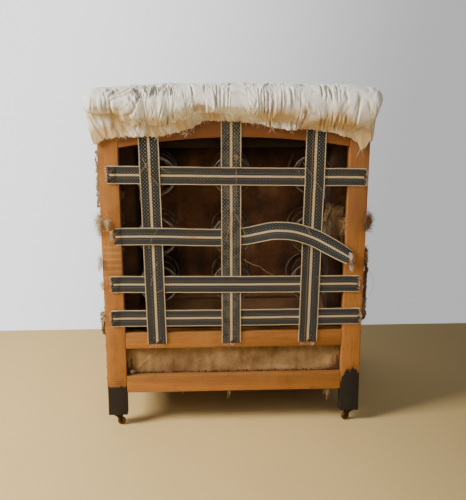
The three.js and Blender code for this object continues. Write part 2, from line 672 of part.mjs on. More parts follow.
function rollGeometry() {
	const half = OVERALL_WIDTH / 2;
	const at = Array.from({ length: ROLL_STATIONS }, (_, i) => -half + i * OVERALL_WIDTH / (ROLL_STATIONS - 1));
	const outlines = at.map((x, i) => rollOutline(x, (i % 2 ? 1 : -1) * ROLL_GATHER_DEPTH));
	return skinned(outlines, ([y, z], s) => [at[s], y, z]);
}

function insideBackGeometry() {
	const half = HALF_FRAME;
	const rear = rimFront - FIT_GAP;
	const low = trayMouth.low - rimWidth;
	const top = rollTopAlong - 60;
	const at = [-1, -0.94, -0.75, -0.45, -0.15, 0.15, 0.45, 0.75, 0.94, 1].map((share) => share * half);
	const outlines = at.map((x) => {
		const crown = BACK_CROWN * Math.cos((x / half) * Math.PI / 2) ** 0.6;
		const round = Math.abs(x) > 0.95 * half ? 22 : 0;
		const face = insideBackFront + BACK_CROWN - crown + round;
		return [
			[rear, low], [face + 26, low], [face + 6, low + 40], [face - BACK_BELLY, low + 130], [face, low + 260],
			[face + 3, low + 390], [face + 8, top - 60], [face + 30, top], [rear, top],
		];
	});
	return skinned(outlines, ([y, z], s) => [at[s], y, z]);
}

function buildBackUpholstery() {
	const reach = OVERALL_DEPTH;
	const frameSpace = boxGeometry(
		[-HALF_FRAME - FIT_GAP, rimFront - FIT_GAP, -reach],
		[HALF_FRAME + FIT_GAP, flapInner + 0.01, backLength + FIT_GAP]);
	const canvasSpace = trayBlock(
		HESSIAN_THICKNESS + FIT_GAP, rimFront, canvasFloor - HESSIAN_THICKNESS - FIT_GAP);
	const armTop = alongBack(ARM_PAD_TOP) + PAD_CLEARANCE;
	const armSpace = [1, -1].map((sign) => {
		const inner = HALF_INNER - ARM_INNER_THICKNESS - PAD_CLEARANCE;
		const [low, high] = sign > 0 ? [inner, reach] : [-reach, -inner];
		return boxGeometry([low, -reach, -reach], [high, reach, armTop]);
	});
	const whole = join(rollGeometry(), insideBackGeometry());
	addMesh(leaningBack, 'back_upholstery', cut(whole, frameSpace, canvasSpace, ...armSpace), calico);
}

// Arms: hessian over horsehair, rolled outwards over the arm rail

function armOutline(swell) {
	const inner = HALF_INNER - ARM_INNER_THICKNESS;
	const outer = HALF_FRAME + ARM_OUTER_ROLL;
	const top = ARM_PAD_TOP;
	const skirt = HALF_FRAME + FIT_GAP;
	const crest = top - 2 + swell / 2;
	return [
		[skirt, COVER_BOTTOM], [inner + 8, COVER_BOTTOM], [inner + 3, COVER_BOTTOM + 132],
		[inner + swell, top - 204], [inner + swell, top - 84], [inner + 6, top - 44], [inner + 20, top - 16],
		[inner + 46, crest], [inner + 74, crest],
		[outer - 18, top - 12], [outer - 3 + swell, top - 30], [outer - 3 + swell, top - 44],
		[outer - 10, top - ARM_ROLL_DROP - 4], [outer - 20, top - ARM_ROLL_DROP - 18],
		[skirt, top - ARM_ROLL_DROP - 26],
	];
}

function armGeometry() {
	const at = [];
	const outlines = [];
	const stations = 13;
	const rearY = BACK_Y + FRAME_THICKNESS * 2;
	for (let i = 0; i < stations; i++) {
		const t = i / (stations - 1);
		at.push(THREE.MathUtils.lerp(CHAIR_FRONT_Y, rearY, t));
		const swell = 1.5 * Math.sin(i * 2.1) + 0.5;
		const nose = i === 0 ? 5 : 0;
		outlines.push(armOutline(swell).map(([x, z]) => {
			const rounded = Math.sign(x - HALF_FRAME + POST_WIDTH / 2) * nose;
			return [x - (z > COVER_BOTTOM ? rounded : 0), z - (z > ARM_PAD_TOP - 30 ? nose : 0)];
		}));
	}
	return skinned(outlines, ([x, z], s) => [x, at[s], z]);
}

function buildArms() {
	const lipBottom = ARM_PAD_TOP - ARM_ROLL_DROP - 28;
	const railTop = ARM_RAIL_BOTTOM + ARM_RAIL_HEIGHT + FIT_GAP;
	const rearOfCover = FRONT_POST_Y - FIT_GAP;
	const postSpace = boxGeometry(
		[HALF_INNER - FIT_GAP, rearOfCover, 0], [HALF_FRAME + FIT_GAP, OVERALL_DEPTH, railTop]);
	const openSide = boxGeometry(
		[HALF_INNER - FIT_GAP, rearOfCover, 0], [OVERALL_WIDTH, OVERALL_DEPTH, lipBottom]);
	const seatRailTop = SEAT_RAIL_BOTTOM + SEAT_RAIL_HEIGHT + FIT_GAP;
	const railSpace = boxGeometry([0, rearOfCover, 0], [OVERALL_WIDTH, OVERALL_DEPTH, seatRailTop]);
	const backSpace = acrossX(behindFrontFaces(HESSIAN_THICKNESS + 2 * FIT_GAP), 0, OVERALL_WIDTH);
	const left = cut(armGeometry(), postSpace, openSide, railSpace, backSpace);
	addMesh(chair, 'arm_pad_left', left, hessian);
	const right = left.clone().applyMatrix4(new THREE.Matrix4().makeScale(-1, 1, 1));
	addMesh(chair, 'arm_pad_right', facingOut(right), hessian);
	const plateTop = lipBottom - FIT_GAP;
	for (const [side, sign] of [['left', 1], ['right', -1]]) {
		const [inner, outer] = [HALF_FRAME + FIT_GAP, HALF_FRAME + FIT_GAP + HESSIAN_THICKNESS];
		const [low, high] = sign > 0 ? [inner, outer] : [-outer, -inner];
		const sheet = boxGeometry([low, FRONT_POST_Y, COVER_BOTTOM], [high, BACK_Y - 10, plateTop]);
		addMesh(chair, `outside_arm_hessian_${side}`, sheet, hessian);
	}
}

// Seat: a stitched pad that has sunk in the middle, with its cover drawn down over the front rail
function buildSeatPad() {
	const half = HALF_INNER - ARM_INNER_THICKNESS - PAD_CLEARANCE;
	const depth = seatRearY - CHAIR_FRONT_Y;
	const apron = FRONT_COVER_THICKNESS - FIT_GAP;
	const columns = 11;
	const stations = [
		{ behindFront: 0, drop: 60, bottom: COVER_BOTTOM },
		{ behindFront: apron * 0.6, drop: 24, bottom: COVER_BOTTOM },
		{ behindFront: apron, drop: 13, bottom: COVER_BOTTOM },
		{ behindFront: apron + 1, drop: 12, bottom: SEAT_PAD_BOTTOM },
		{ behindFront: depth * 0.0818, drop: 0, bottom: SEAT_PAD_BOTTOM },
		{ behindFront: depth * 0.187, drop: 4, bottom: SEAT_PAD_BOTTOM },
		{ behindFront: depth * 0.3603, drop: 0, bottom: SEAT_PAD_BOTTOM },
		{ behindFront: depth * 0.5356, drop: 0, bottom: SEAT_PAD_BOTTOM },
		{ behindFront: depth * 0.7109, drop: 0, bottom: SEAT_PAD_BOTTOM },
		{ behindFront: depth * 0.8862, drop: 2, bottom: SEAT_PAD_BOTTOM },
		{ behindFront: depth, drop: 12, bottom: SEAT_PAD_BOTTOM },
	];
	const outlines = stations.map(({ behindFront, drop, bottom }) => {
		const top = Array.from({ length: columns }, (_, i) => {
			const u = -1 + 2 * i / (columns - 1);
			const sink = SEAT_SAG * Math.sin(Math.PI * behindFront / depth) ** 1.2;
			const crown = (SEAT_CROWN - sink) * (1 - u * u);
			return [u * half, SEAT_PAD_EDGE_TOP - drop + crown - SEAT_SIDE_ROUND * Math.abs(u) ** 8];
		});
		return [...top, [half, bottom], [-half, bottom]];
	});
	const pad = skinned(outlines, ([x, z], s) => [x, CHAIR_FRONT_Y + stations[s].behindFront, z]);
	addMesh(chair, 'seat_pad', pad, hessian);
}

// Castors: a plate with a riveted pivot, a horn that swivels on it, and a wheel on the horn's axle

const plateTop = CASTOR_HEIGHT - FIT_GAP;
const plateBottom = plateTop - CASTOR_PLATE_THICKNESS;
const bridgeTop = plateBottom - CASTOR_RUNNING_GAP;
const bridgeBottom = bridgeTop - HORN_BRIDGE_THICKNESS;
const headTop = bridgeBottom - CASTOR_RUNNING_GAP;
const cheekInner = WHEEL_WIDTH / 2 + HORN_SIDE_GAP;

function disc(radius, low, high, sides = 20) {
	return new THREE.CylinderGeometry(radius, radius, high - low, sides).rotateX(Math.PI / 2)
		.translate(0, 0, (low + high) / 2);
}

function castorPlateGeometry() {
	const pin = disc(PIVOT_RADIUS, headTop - PIVOT_HEAD_THICKNESS / 2, plateBottom + 1, 12);
	const head = disc(PIVOT_HEAD_RADIUS, headTop - PIVOT_HEAD_THICKNESS, headTop, 12);
	return join(disc(CASTOR_PLATE_RADIUS, plateBottom, plateTop), pin, head);
}

function hornGeometry() {
	const cheek = new THREE.Shape();
	const topHalf = Math.sqrt(HORN_BRIDGE_RADIUS ** 2 - (cheekInner + HORN_CHEEK_THICKNESS) ** 2);
	cheek.moveTo(-topHalf, bridgeTop);
	cheek.lineTo(topHalf, bridgeTop);
	cheek.absarc(CASTOR_TRAIL, WHEEL_RADIUS, HORN_BOSS_RADIUS, Math.PI / 6, -Math.PI * 7 / 6, true);
	cheek.closePath();
	const options = { depth: HORN_CHEEK_THICKNESS, bevelEnabled: false, curveSegments: 8 };
	const cheekAt = (y) => new THREE.ExtrudeGeometry(cheek, options).rotateX(Math.PI / 2).translate(0, y, 0);
	const outer = cheekInner + HORN_CHEEK_THICKNESS;
	const axle = new THREE.CylinderGeometry(AXLE_RADIUS, AXLE_RADIUS, 2 * outer + 1, 12)
		.translate(CASTOR_TRAIL, 0, WHEEL_RADIUS);
	const bridge = disc(HORN_BRIDGE_RADIUS, bridgeBottom, bridgeTop);
	const pivotHole = disc(PIVOT_RADIUS + CASTOR_RUNNING_GAP, bridgeBottom - 1, bridgeTop + 1, 12);
	return cut(join(bridge, cheekAt(outer), cheekAt(-cheekInner), axle), pivotHole);
}

function wheelGeometry() {
	const rim = WHEEL_RADIUS / Math.cos(Math.PI / WHEEL_FACETS);
	const bore = AXLE_RADIUS + CASTOR_RUNNING_GAP;
	const half = WHEEL_WIDTH / 2;
	const profile = [
		[bore, -half], [rim - WHEEL_EDGE_ROUND, -half], [rim, -half + WHEEL_EDGE_ROUND],
		[rim, half - WHEEL_EDGE_ROUND], [rim - WHEEL_EDGE_ROUND, half], [bore, half], [bore, -half],
	].map(([radius, y]) => new THREE.Vector2(radius, y));
	const wheel = new THREE.LatheGeometry(profile, WHEEL_FACETS, Math.PI / WHEEL_FACETS);
	return toGeometry(toSolid(wheel)).translate(CASTOR_TRAIL, 0, WHEEL_RADIUS);
}

function buildCastors() {
	const legX = HALF_FRAME - POST_WIDTH / 2;
	const backLegY = BACK_Y - (FRAME_THICKNESS - LEG_TAPER) / 2;
	const frontLegY = FRONT_POST_Y + (FRAME_THICKNESS - LEG_TAPER) / 2;
	for (const [corner, yaw] of Object.entries(CASTOR_YAWS)) {
		const castor = new THREE.Group();
		const x = corner.endsWith('left') ? legX : -legX;
		castor.position.set(x, corner.startsWith('back') ? backLegY : frontLegY, 0);
		castor.rotation.z = THREE.MathUtils.degToRad(yaw);
		addMesh(castor, `castor_plate_${corner}`, castorPlateGeometry(), castorIron);
		addMesh(castor, `castor_horn_${corner}`, hornGeometry(), castorIron);
		addMesh(castor, `castor_wheel_${corner}`, wheelGeometry(), castorBrass);
		chair.add(castor);
	}
}

buildFrame();
buildBackWebbing();
buildBackSprings();
buildSeatWebbing();
buildSeatSprings();
buildCanvas();
buildSeatBackHessian();
buildBackUpholstery();
buildArms();
buildSeatPad();
buildCastors();

export default chair;
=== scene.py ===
import math
import random
from bisect import bisect_left
from itertools import product

import bpy
from mathutils import Matrix, Vector, noise


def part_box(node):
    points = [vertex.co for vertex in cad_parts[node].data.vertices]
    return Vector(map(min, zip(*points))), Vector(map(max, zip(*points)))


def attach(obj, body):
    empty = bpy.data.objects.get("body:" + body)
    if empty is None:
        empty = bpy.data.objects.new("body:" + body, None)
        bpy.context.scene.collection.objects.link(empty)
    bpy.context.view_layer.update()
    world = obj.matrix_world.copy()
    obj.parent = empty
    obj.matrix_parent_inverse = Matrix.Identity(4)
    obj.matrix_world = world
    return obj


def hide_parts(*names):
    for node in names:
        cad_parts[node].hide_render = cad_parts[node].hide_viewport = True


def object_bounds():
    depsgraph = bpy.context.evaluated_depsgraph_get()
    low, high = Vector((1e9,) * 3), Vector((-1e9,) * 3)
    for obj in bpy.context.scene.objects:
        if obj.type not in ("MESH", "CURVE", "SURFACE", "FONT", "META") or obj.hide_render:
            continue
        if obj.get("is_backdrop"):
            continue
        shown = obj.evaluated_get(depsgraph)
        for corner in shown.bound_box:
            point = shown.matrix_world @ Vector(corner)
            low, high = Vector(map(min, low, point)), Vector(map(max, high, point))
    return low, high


bl_info = {
    "name": "Stripped Armchair",
    "version": (1, 0, 0),
    "blender": (4, 5, 0),
    "location": "3D View > Sidebar > Armchair",
    "description": "Dresses the plain model of an old armchair that is stripped for re-covering",
    "category": "Add Mesh",
}

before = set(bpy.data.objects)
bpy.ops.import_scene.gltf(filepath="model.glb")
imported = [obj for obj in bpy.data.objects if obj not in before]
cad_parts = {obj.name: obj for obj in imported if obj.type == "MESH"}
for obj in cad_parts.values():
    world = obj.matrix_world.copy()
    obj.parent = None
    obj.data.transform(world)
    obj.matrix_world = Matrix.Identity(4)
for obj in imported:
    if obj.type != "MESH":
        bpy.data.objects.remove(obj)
CAD_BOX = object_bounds()

MM = 0.001
SIDES = {"left": 1, "right": -1}

# Places in the plain model, in millimetres
BACK_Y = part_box("back_seat_rail")[1].y / MM
RAKE = math.radians(4.2)
KNEE = 250  # the height where the posts start to lean
HALF_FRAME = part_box("back_post_left")[1].x / MM
HALF_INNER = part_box("back_post_left")[0].x / MM
RAIL_CORNER = 766
ROLL_MIDDLE = (921 - KNEE) / math.cos(RAKE) - 45
CROSSINGS = (693, 533, 403.5, 309.5)  # the heights of the cross webs
# How far behind the posts the webs lie: alone on the frame, over another web, and under one
CROSS_LEVEL, OVER_LEVEL, UNDER_LEVEL = 1.2, 3.3, -0.9
CANVAS_LEVEL = -114.0
FRONT_OF_FRAME = -34.3
# The two ends of each cross web of the back, across and in height. The second is torn away at the right.
CROSS_WEB_ENDS = {
    1: ((326, 699), (-341, 687)), 2: ((316, 536),), 3: ((328, 407), (-335, 400)), 4: ((331, 311), (-341, 308))}
BACK_SPRING_X = {"left": 199.4, "middle": 6, "right": -199.4}
SEAT_WEB_X = (-234, -117, 0, 117, 234)
SEAT_WEB_Y = (-278.3, -157.6, -36.9, 83.8, 204.5)

SIDEWAYS, UPWARD = Vector((1, 0, 0)), Vector((0, 0, 1))
OUT_OF_BACK = Vector((0, math.cos(RAKE), -math.sin(RAKE)))
UP_THE_BACK = Vector((0, math.sin(RAKE), math.cos(RAKE)))


def linear(*screen):
    """A colour read from a screen, 0 to 255, as the shader wants it."""
    return tuple(((c / 255 + 0.055) / 1.055) ** 2.4 if c > 10 else c / 255 / 12.92 for c in screen)


def up_along(height):
    """How far up the leaning back a height lies."""
    return (height - KNEE) / math.cos(RAKE)


def within(value):
    """A value held between 0 and 1."""
    return min(1.0, max(0.0, value))


def wobble(x, y, z):
    """A random value, about -1 to 1, that changes smoothly from place to place."""
    return noise.noise(Vector((x, y, z)))


def colour_property(name, description, *screen):
    return bpy.props.FloatVectorProperty(
        name=name, description=description, default=linear(*screen), subtype="COLOR", min=0, max=1, size=3)


def size_property(name, description, default):
    return bpy.props.FloatProperty(name=name, description=description, default=default, unit="LENGTH")


class ChairColours(bpy.types.PropertyGroup):
    """The colours of the chair's finishes"""
    beech: colour_property("Beech", "Bare orange-brown wood of the frame", 168, 107, 42)
    calico: colour_property("Calico", "Unbleached cloth of the top roll", 246, 240, 226)
    yellowed: colour_property("Yellowed calico", "Aged cloth towards the torn hem", 206, 176, 126)
    web_dark: colour_property("Webbing ground", "Dark threads of the webbing", 58, 60, 57)
    web_pale: colour_property("Webbing stripe", "Pale threads of the webbing", 206, 180, 138)
    hessian: colour_property("Hessian", "Tan jute cloth", 178, 140, 88)
    canvas: colour_property("Spring canvas", "Brown canvas of the back", 122, 76, 36)
    stain: colour_property("Leg stain", "Dark stain on the feet of the posts", 24, 17, 15)
    steel: colour_property("Spring wire", "Dull wire of the springs", 98, 92, 82)
    iron: colour_property("Castor iron", "Dark iron of the castors", 52, 42, 34)
    brass: colour_property("Castor brass", "Brown brass of the wheels", 118, 80, 40)
    twine: colour_property("Twine", "Flax twine and loose threads", 148, 122, 84)
    hair: colour_property("Horsehair", "Brown curled stuffing", 104, 70, 40)
    floor: colour_property("Floor", "Plain pale floor", 236, 202, 134)
    wall: colour_property("Wall", "Plain backdrop at the light's side", 240, 241, 241)


class ChairSizes(bpy.types.PropertyGroup):
    """The sizes of the chair's fine parts"""
    web_width: size_property("Webbing", "Width of the upright webs", 0.051)
    cross_web_width: size_property("Cross webbing", "Width of the cross webs", 0.046)
    wire: size_property("Spring wire", "Diameter of the spring wire", 0.0036)
    twine: size_property("Twine", "Diameter of the stitching twine", 0.0014)
    tack_head: size_property("Tack head", "Diameter of a tack's head", 0.0072)
    edge_wear: size_property("Edge wear", "Rounding of the beech members", 0.0022)


# Shader recipes

class Shade:
    """A socket of a finish, with the arithmetic that the recipes use."""

    def __init__(self, finish, socket):
        self.finish = finish
        self.socket = socket

    def maths(self, operation, *values):
        return self.finish.node("ShaderNodeMath", {"operation": operation}, *values)

    def __add__(self, other):
        return self.maths("ADD", self, other)

    def __radd__(self, other):
        return self.maths("ADD", other, self)

    def __sub__(self, other):
        return self.maths("SUBTRACT", self, other)

    def __rsub__(self, other):
        return self.maths("SUBTRACT", other, self)

    def __mul__(self, other):
        return self.maths("MULTIPLY", self, other)

    def __rmul__(self, other):
        return self.maths("MULTIPLY", other, self)

    def __truediv__(self, other):
        return self.maths("DIVIDE", self, other)

    def __pow__(self, other):
        return self.maths("POWER", self, other)

    def __abs__(self):
        return self.maths("ABSOLUTE", self)

    def wave(self):
        return self.maths("SINE", self)

    def zigzag(self):
        """Up and down between 0 and 1, once for each unit."""
        return self.maths("PINGPONG", self, 0.5) * 2.0

    def rise(self, low, high):
        """0 below low, 1 above high, smooth between."""
        settings = {"interpolation_type": "SMOOTHSTEP"}
        return self.finish.node("ShaderNodeMapRange", settings, self, low, high, 0.0, 1.0)


class Finish:
    """A material on one shader, fed by the recipe's nodes."""

    def __init__(self, name, roughness=0.8, metallic=0.0):
        self.material = bpy.data.materials.new(name)
        self.material.use_nodes = True
        self.tree = self.material.node_tree
        self.shader = self.tree.nodes["Principled BSDF"]
        self.shader.inputs["Roughness"].default_value = roughness
        self.shader.inputs["Metallic"].default_value = metallic

    def node(self, kind, settings, *values, out=0, **named):
        made = self.tree.nodes.new(kind)
        for key, value in settings.items():
            setattr(made, key, value)
        for socket, value in zip(made.inputs, values):
            self.feed(socket, value)
        for key, value in named.items():
            self.feed(made.inputs[key], value)
        return Shade(self, made.outputs[out])

    def feed(self, socket, value):
        if isinstance(value, Shade):
            self.tree.links.new(value.socket, socket)
        elif value is not None:
            socket.default_value = (*value, 1.0) if socket.type == "RGBA" else value

    def place(self):
        return self.node("ShaderNodeTexCoord", {}, out="Object")

    def parts(self, vector):
        split = self.node("ShaderNodeSeparateXYZ", {}, vector)
        return [Shade(self, socket) for socket in split.socket.node.outputs]

    def scaled(self, vector, factors):
        return self.node("ShaderNodeVectorMath", {"operation": "MULTIPLY"}, vector, factors)

    def noise(self, vector, scale, detail=2.0, rough=0.5):
        return self.node("ShaderNodeTexNoise", {}, Vector=vector, Scale=scale, Detail=detail, Roughness=rough)

    def painted(self, name):
        return self.node("ShaderNodeAttribute", {"attribute_name": name}, out="Fac")

    def mix(self, share, first, second):
        mixed = self.node("ShaderNodeMix", {"data_type": "RGBA"}, share, out=2)
        inputs = mixed.socket.node.inputs
        self.feed(inputs[6], first)
        self.feed(inputs[7], second)
        return mixed

    def layered(self, colour, *layers):
        """Lays tones over a colour, each with the share that it takes."""
        for share, tone in layers:
            colour = self.mix(share, colour, tone)
        return colour

    def bump(self, height, strength, distance):
        return self.node("ShaderNodeBump", {}, Height=height, Strength=strength, Distance=distance)

    def done(self, colour, roughness=None, normal=None, sheen=0.0):
        self.feed(self.shader.inputs["Base Color"], colour)
        self.feed(self.shader.inputs["Roughness"], roughness)
        self.feed(self.shader.inputs["Normal"], normal)
        if sheen:
            self.shader.inputs["Sheen Weight"].default_value = sheen
        return self.material


def shade_of(colour, factor):
    return tuple(min(1.0, c * factor) for c in colour)


def once(make):
    """Each finish is made the first time that a piece asks for it."""
    made = {}

    def ask(*words):
        if words not in made:
            made[words] = make(*words)
        return made[words]
    return ask


def chosen(name, factor=1.0):
    """One of the chair's colours, made darker or lighter by a factor."""
    return shade_of(getattr(bpy.context.scene.chair_colours, name), factor)


@once
def beech(axis):
    """Old beech, with its grain along one axis, dark stain on the feet, and painted shade on the top of the top rail
    and on the upper right post.
    """
    finish = Finish("beech_grain_" + "xyz"[axis], roughness=0.6)
    place = finish.place()
    x, _, z = finish.parts(place)

    def stretched(factor):
        return finish.scaled(place, tuple(factor if n == axis else 1.0 for n in range(3)))

    bands = finish.noise(stretched(0.05), 26, 4, 0.55)
    fibres = finish.noise(stretched(0.05), 260, 3, 0.6)
    flecks = finish.noise(stretched(0.16), 420, 1).rise(0.62, 0.72)
    blotches = finish.noise(place, 7, 3, 0.6)
    dents = finish.noise(place, 90, 3, 0.6)
    grime = finish.noise(place, 30, 5, 0.7).rise(0.5, 0.78) * (0.4 - z).rise(0.0, 0.3)
    colour = finish.layered(
        chosen("beech", 0.74),
        (bands.rise(0.3, 0.7), chosen("beech", 1.16)),
        (fibres.rise(0.42, 0.7) * 0.35, linear(122, 68, 22)),
        (flecks * 0.3, linear(98, 56, 22)),
        (blotches.rise(0.5, 0.75) * 0.35, linear(192, 136, 66)),
        (grime * 0.45, linear(84, 54, 28)),
    )
    # Painted shade: the top of the top rail is painted darker, where the top roll shades it.
    if axis == 0:
        colour = finish.mix((z - 0.755).rise(0.0, 0.03) * 0.75, colour, linear(98, 50, 12))
    if axis == 2:
        # Painted shade: the upper part of the right post is painted darker, unevenly, where it lies in shade.
        painted_post_shade = (-0.29 - x).rise(0.0, 0.01) * (z - 0.5).rise(0.0, 0.09) * (0.3 + 0.7 * blotches)
        rubbed = (z * 60.0).zigzag().rise(0.4, 0.9) * (x - 0.29).rise(0.0, 0.01) * blotches
        rubbed = rubbed * (z - 0.4).rise(0.0, 0.03) * (0.53 - z).rise(0.0, 0.03)
        colour = finish.layered(
            colour, (painted_post_shade * 0.75, linear(112, 66, 26)), (rubbed * 0.5, linear(206, 164, 112)))
        colour = stained_feet(finish, place, colour)
    relief = 0.7 * fibres + 0.8 * dents + 0.5 * flecks
    return finish.done(colour, 0.52 + 0.2 * dents, finish.bump(relief, 0.35, 0.0006))


def stained_feet(finish, place, colour):
    """The dark stain on the feet: level on the left, an uneven arch on the right, and saw marks."""
    x, _, z = finish.parts(place)
    ragged = finish.noise(finish.scaled(place, (1.0, 1.0, 0.25)), 75, 4, 0.65)
    rough_edge = finish.noise(finish.scaled(place, (1.0, 1.0, 0.5)), 160, 4, 0.7)
    arch = 1.0 - abs((x + 0.326) / 0.032) ** 2.0
    right = (0.0 - x).rise(-0.01, 0.01)
    edge = 0.104 + 0.014 * ragged + 0.008 * rough_edge
    edge = edge + right * (0.034 * arch + 0.045 * (ragged - 0.34) + 0.02 * (rough_edge - 0.4))
    near = (edge + 0.018 - z).rise(-0.004, 0.02) * ragged
    marks = (z * 150.0).zigzag().rise(0.74, 0.9) * (x - 0.296).rise(0.0, 0.003)
    marks = marks * (0.336 - x).rise(0.0, 0.012) * (z - 0.117).rise(0.0, 0.002) * (0.139 - z).rise(0.0, 0.002)
    return finish.layered(
        colour,
        (near * 0.7, linear(104, 60, 26)),
        (marks * 0.8, linear(62, 36, 18)),
        ((edge - z).rise(-0.0015, 0.003), finish.mix(ragged, chosen("stain", 0.4), chosen("stain", 1.2))),
    )


@once
def webbing(fade):
    """Herringbone webbing, read across and along the strip from its own map."""
    finish = Finish(f"webbing_{fade}", roughness=0.88)
    place = finish.place()
    across, along, _ = finish.parts(finish.node("ShaderNodeUVMap", {"uv_map": "UVMap"}))
    from_middle = abs(across - 0.5)
    rib = (along * 5.5 + across * 6.0).zigzag() * (along * 5.5 - across * 6.0).zigzag()
    weft = (along * 64.0).zigzag()
    dust = finish.noise(place, 60, 4, 0.6)
    pale = finish.mix(weft.rise(0.2, 0.8), chosen("web_pale", 0.8), chosen("web_pale", 1.12))
    beside = (0.13 - abs(from_middle - 0.17)).rise(0.07, 0.13) * rib.rise(0.3, 0.6)
    stripe = (0.036 + 0.036 * (along * 12.0).zigzag() - from_middle).rise(-0.006, 0.006)
    stain = finish.noise(place, 16, 3, 0.6).rise(0.56, 0.8)
    colour = finish.layered(
        chosen("web_dark", 0.1),
        (rib.rise(0.28, 0.6), chosen("web_dark", 3.1)),
        (dust.rise(0.42, 0.8) * 0.15, linear(90, 84, 70)),
        (beside * 0.65, linear(160, 146, 118)),
    )
    if fade == "faded":
        bars = (along * 17.0).zigzag().rise(0.5, 0.8)
        colour = finish.mix(bars * dust.rise(0.35, 0.6) * 0.6, colour, linear(138, 128, 106))
    colour = finish.mix(stripe, colour, pale)
    if fade == "two_lines":
        second = (0.022 - abs(across - 0.66)).rise(-0.004, 0.004)
        colour = finish.mix(second * 0.75, colour, linear(122, 92, 58))
    colour = finish.layered(
        colour, ((from_middle - 0.458).rise(-0.004, 0.006), pale), (stain * 0.45, linear(84, 60, 36)))
    return finish.done(colour, 0.86 + 0.1 * dust, finish.bump(rib * 0.5 + weft * 0.5, 0.5, 0.0007), sheen=0.1)


@once
def calico():
    """Unbleached cloth. The mesh says where it has yellowed and where a crease lies, which gets painted shade."""
    finish = Finish("calico", roughness=0.9)
    place = finish.place()
    x, y, z = finish.parts(place)
    aged = finish.painted("aged")
    patches = finish.noise(place, 22, 5, 0.62)
    streaks = finish.noise(finish.scaled(place, (1.0, 0.3, 0.16)), 120, 3, 0.6)
    spots = finish.noise(place, 52, 4, 0.7)
    age = (aged * 1.25 + (patches - 0.5) * 0.9 + (streaks - 0.5) * 0.5 * aged).rise(0.12, 0.95)
    colour = finish.layered(
        chosen("calico"),
        (age, chosen("yellowed")),
        # Painted shade in the creases, darker the deeper the crease.
        (finish.painted("crease").rise(0.15, 1.0) * 0.62, linear(142, 116, 82)),
        (spots.rise(0.6, 0.82) * aged.rise(0.45, 0.9) * 0.5, linear(150, 112, 64)),
        (finish.noise(place, 340, 2).rise(0.35, 0.75) * 0.12, linear(170, 160, 140)),
    )
    threads = (x * 5200.0).wave() * 0.5 + (z * 5200.0).wave() * 0.5 + (y * 5200.0).wave() * 0.3
    relief = finish.noise(place, 150, 4, 0.6) * 2.0 + threads * 0.25
    return finish.done(colour, 0.88, finish.bump(relief, 0.35, 0.0005), sheen=0.15)


def weave_recipe(name, base, dark, pitch, gap, spots):
    """Coarse open cloth. The threads run along the two axes that the surface lies in."""
    finish = Finish(name, roughness=0.95)
    place = finish.place()
    sway = finish.noise(place, 40, 3, 0.6) * 6.0
    turn = 2 * math.pi / (pitch * MM)
    rows = [(axis * turn + sway).wave() * 0.5 + 0.5 for axis in finish.parts(place)]
    facing = finish.node("ShaderNodeNewGeometry", {}, out="Normal")
    weights = [abs(part) ** 2.0 for part in finish.parts(facing)]
    cloth = weights[0] * (rows[1] * rows[2]) + weights[1] * (rows[0] * rows[2]) + weights[2] * (rows[0] * rows[1])
    slubs = finish.noise(place, 220, 3, 0.65)
    worn = finish.noise(place, 11, 4, 0.6)
    patches = finish.noise(finish.scaled(place, (1.0, 1.0, 0.6)), 48, 4, 0.65)
    soil = finish.painted("soil")
    colour = finish.layered(
        shade_of(base, 0.45),
        ((cloth + slubs * 0.5 - 0.25).rise(gap, gap + 0.4), shade_of(base, 1.15)),
        (slubs.rise(0.55, 0.8) * 0.35, shade_of(base, 1.5)),
        (worn.rise(0.45, 0.75) * spots * 1.6, dark),
        (patches.rise(0.5, 0.72) * spots, shade_of(dark, 0.9)),
        ((0.42 - patches).rise(0.0, 0.16) * spots, shade_of(base, 1.2)),
        # Painted light: where the painted value is below zero the cloth is painted paler, as if lit.
        ((0.0 - soil).rise(0.0, 0.8), finish.mix(cloth, shade_of(base, 1.2), linear(216, 184, 142))),
        # Where it is above zero the cloth is painted darker, for soil and for painted shade.
        (soil.rise(0.0, 1.0), shade_of(dark, 0.55)),
    )
    return finish.done(colour, 0.95, finish.bump(cloth + slubs * 0.4, 0.7, 0.0011), sheen=0.05)


@once
def hessian(kind):
    """Each coarse cloth has its colour, its dark tone, its threads' pitch in mm, its gaps and its spots."""
    return weave_recipe(*{
        "canvas": ("spring_canvas_weave", chosen("canvas"), linear(52, 32, 16), 2.4, 0.12, 0.45),
        "pad": ("hessian_over_hair", chosen("hessian"), linear(104, 70, 36), 3.0, 0.1, 0.3),
        # The rags are a darker copy of the hessian: painted shade for the scraps inside the back and on the right,
        # which lie in shade.
        "rag": ("hessian_rags", chosen("hessian", 0.55), linear(62, 44, 28), 3.0, 0.1, 0.4),
        "panel": ("hessian_panel", chosen("hessian"), linear(106, 68, 30), 3.1, 0.08, 0.4),
    }[kind])


@once
def steel():
    finish = Finish("spring_wire", roughness=0.7, metallic=0.2)
    place = finish.place()
    rust = finish.noise(place, 95, 5, 0.7).rise(0.42, 0.62)
    dust = finish.noise(place, 24, 3, 0.6).rise(0.4, 0.8)
    colour = finish.layered(
        chosen("steel"), (dust * 0.5, linear(124, 118, 104)), (rust * 0.7, linear(66, 44, 28)))
    return finish.done(colour, 0.62 + 0.3 * rust, finish.bump(rust, 0.3, 0.0003))


@once
def castor_metal(kind):
    finish = Finish("castor_" + kind, roughness=0.45, metallic=0.8)
    place = finish.place()
    tarnish = finish.noise(place, 260, 5, 0.65).rise(0.4, 0.7)
    rub = finish.noise(place, 900, 2).rise(0.6, 0.8)
    colour = finish.layered(chosen(kind), (tarnish * 0.7, chosen(kind, 0.45)), (rub * 0.3, chosen(kind, 1.7)))
    return finish.done(colour, 0.36 + 0.34 * tarnish, finish.bump(tarnish, 0.3, 0.0003))


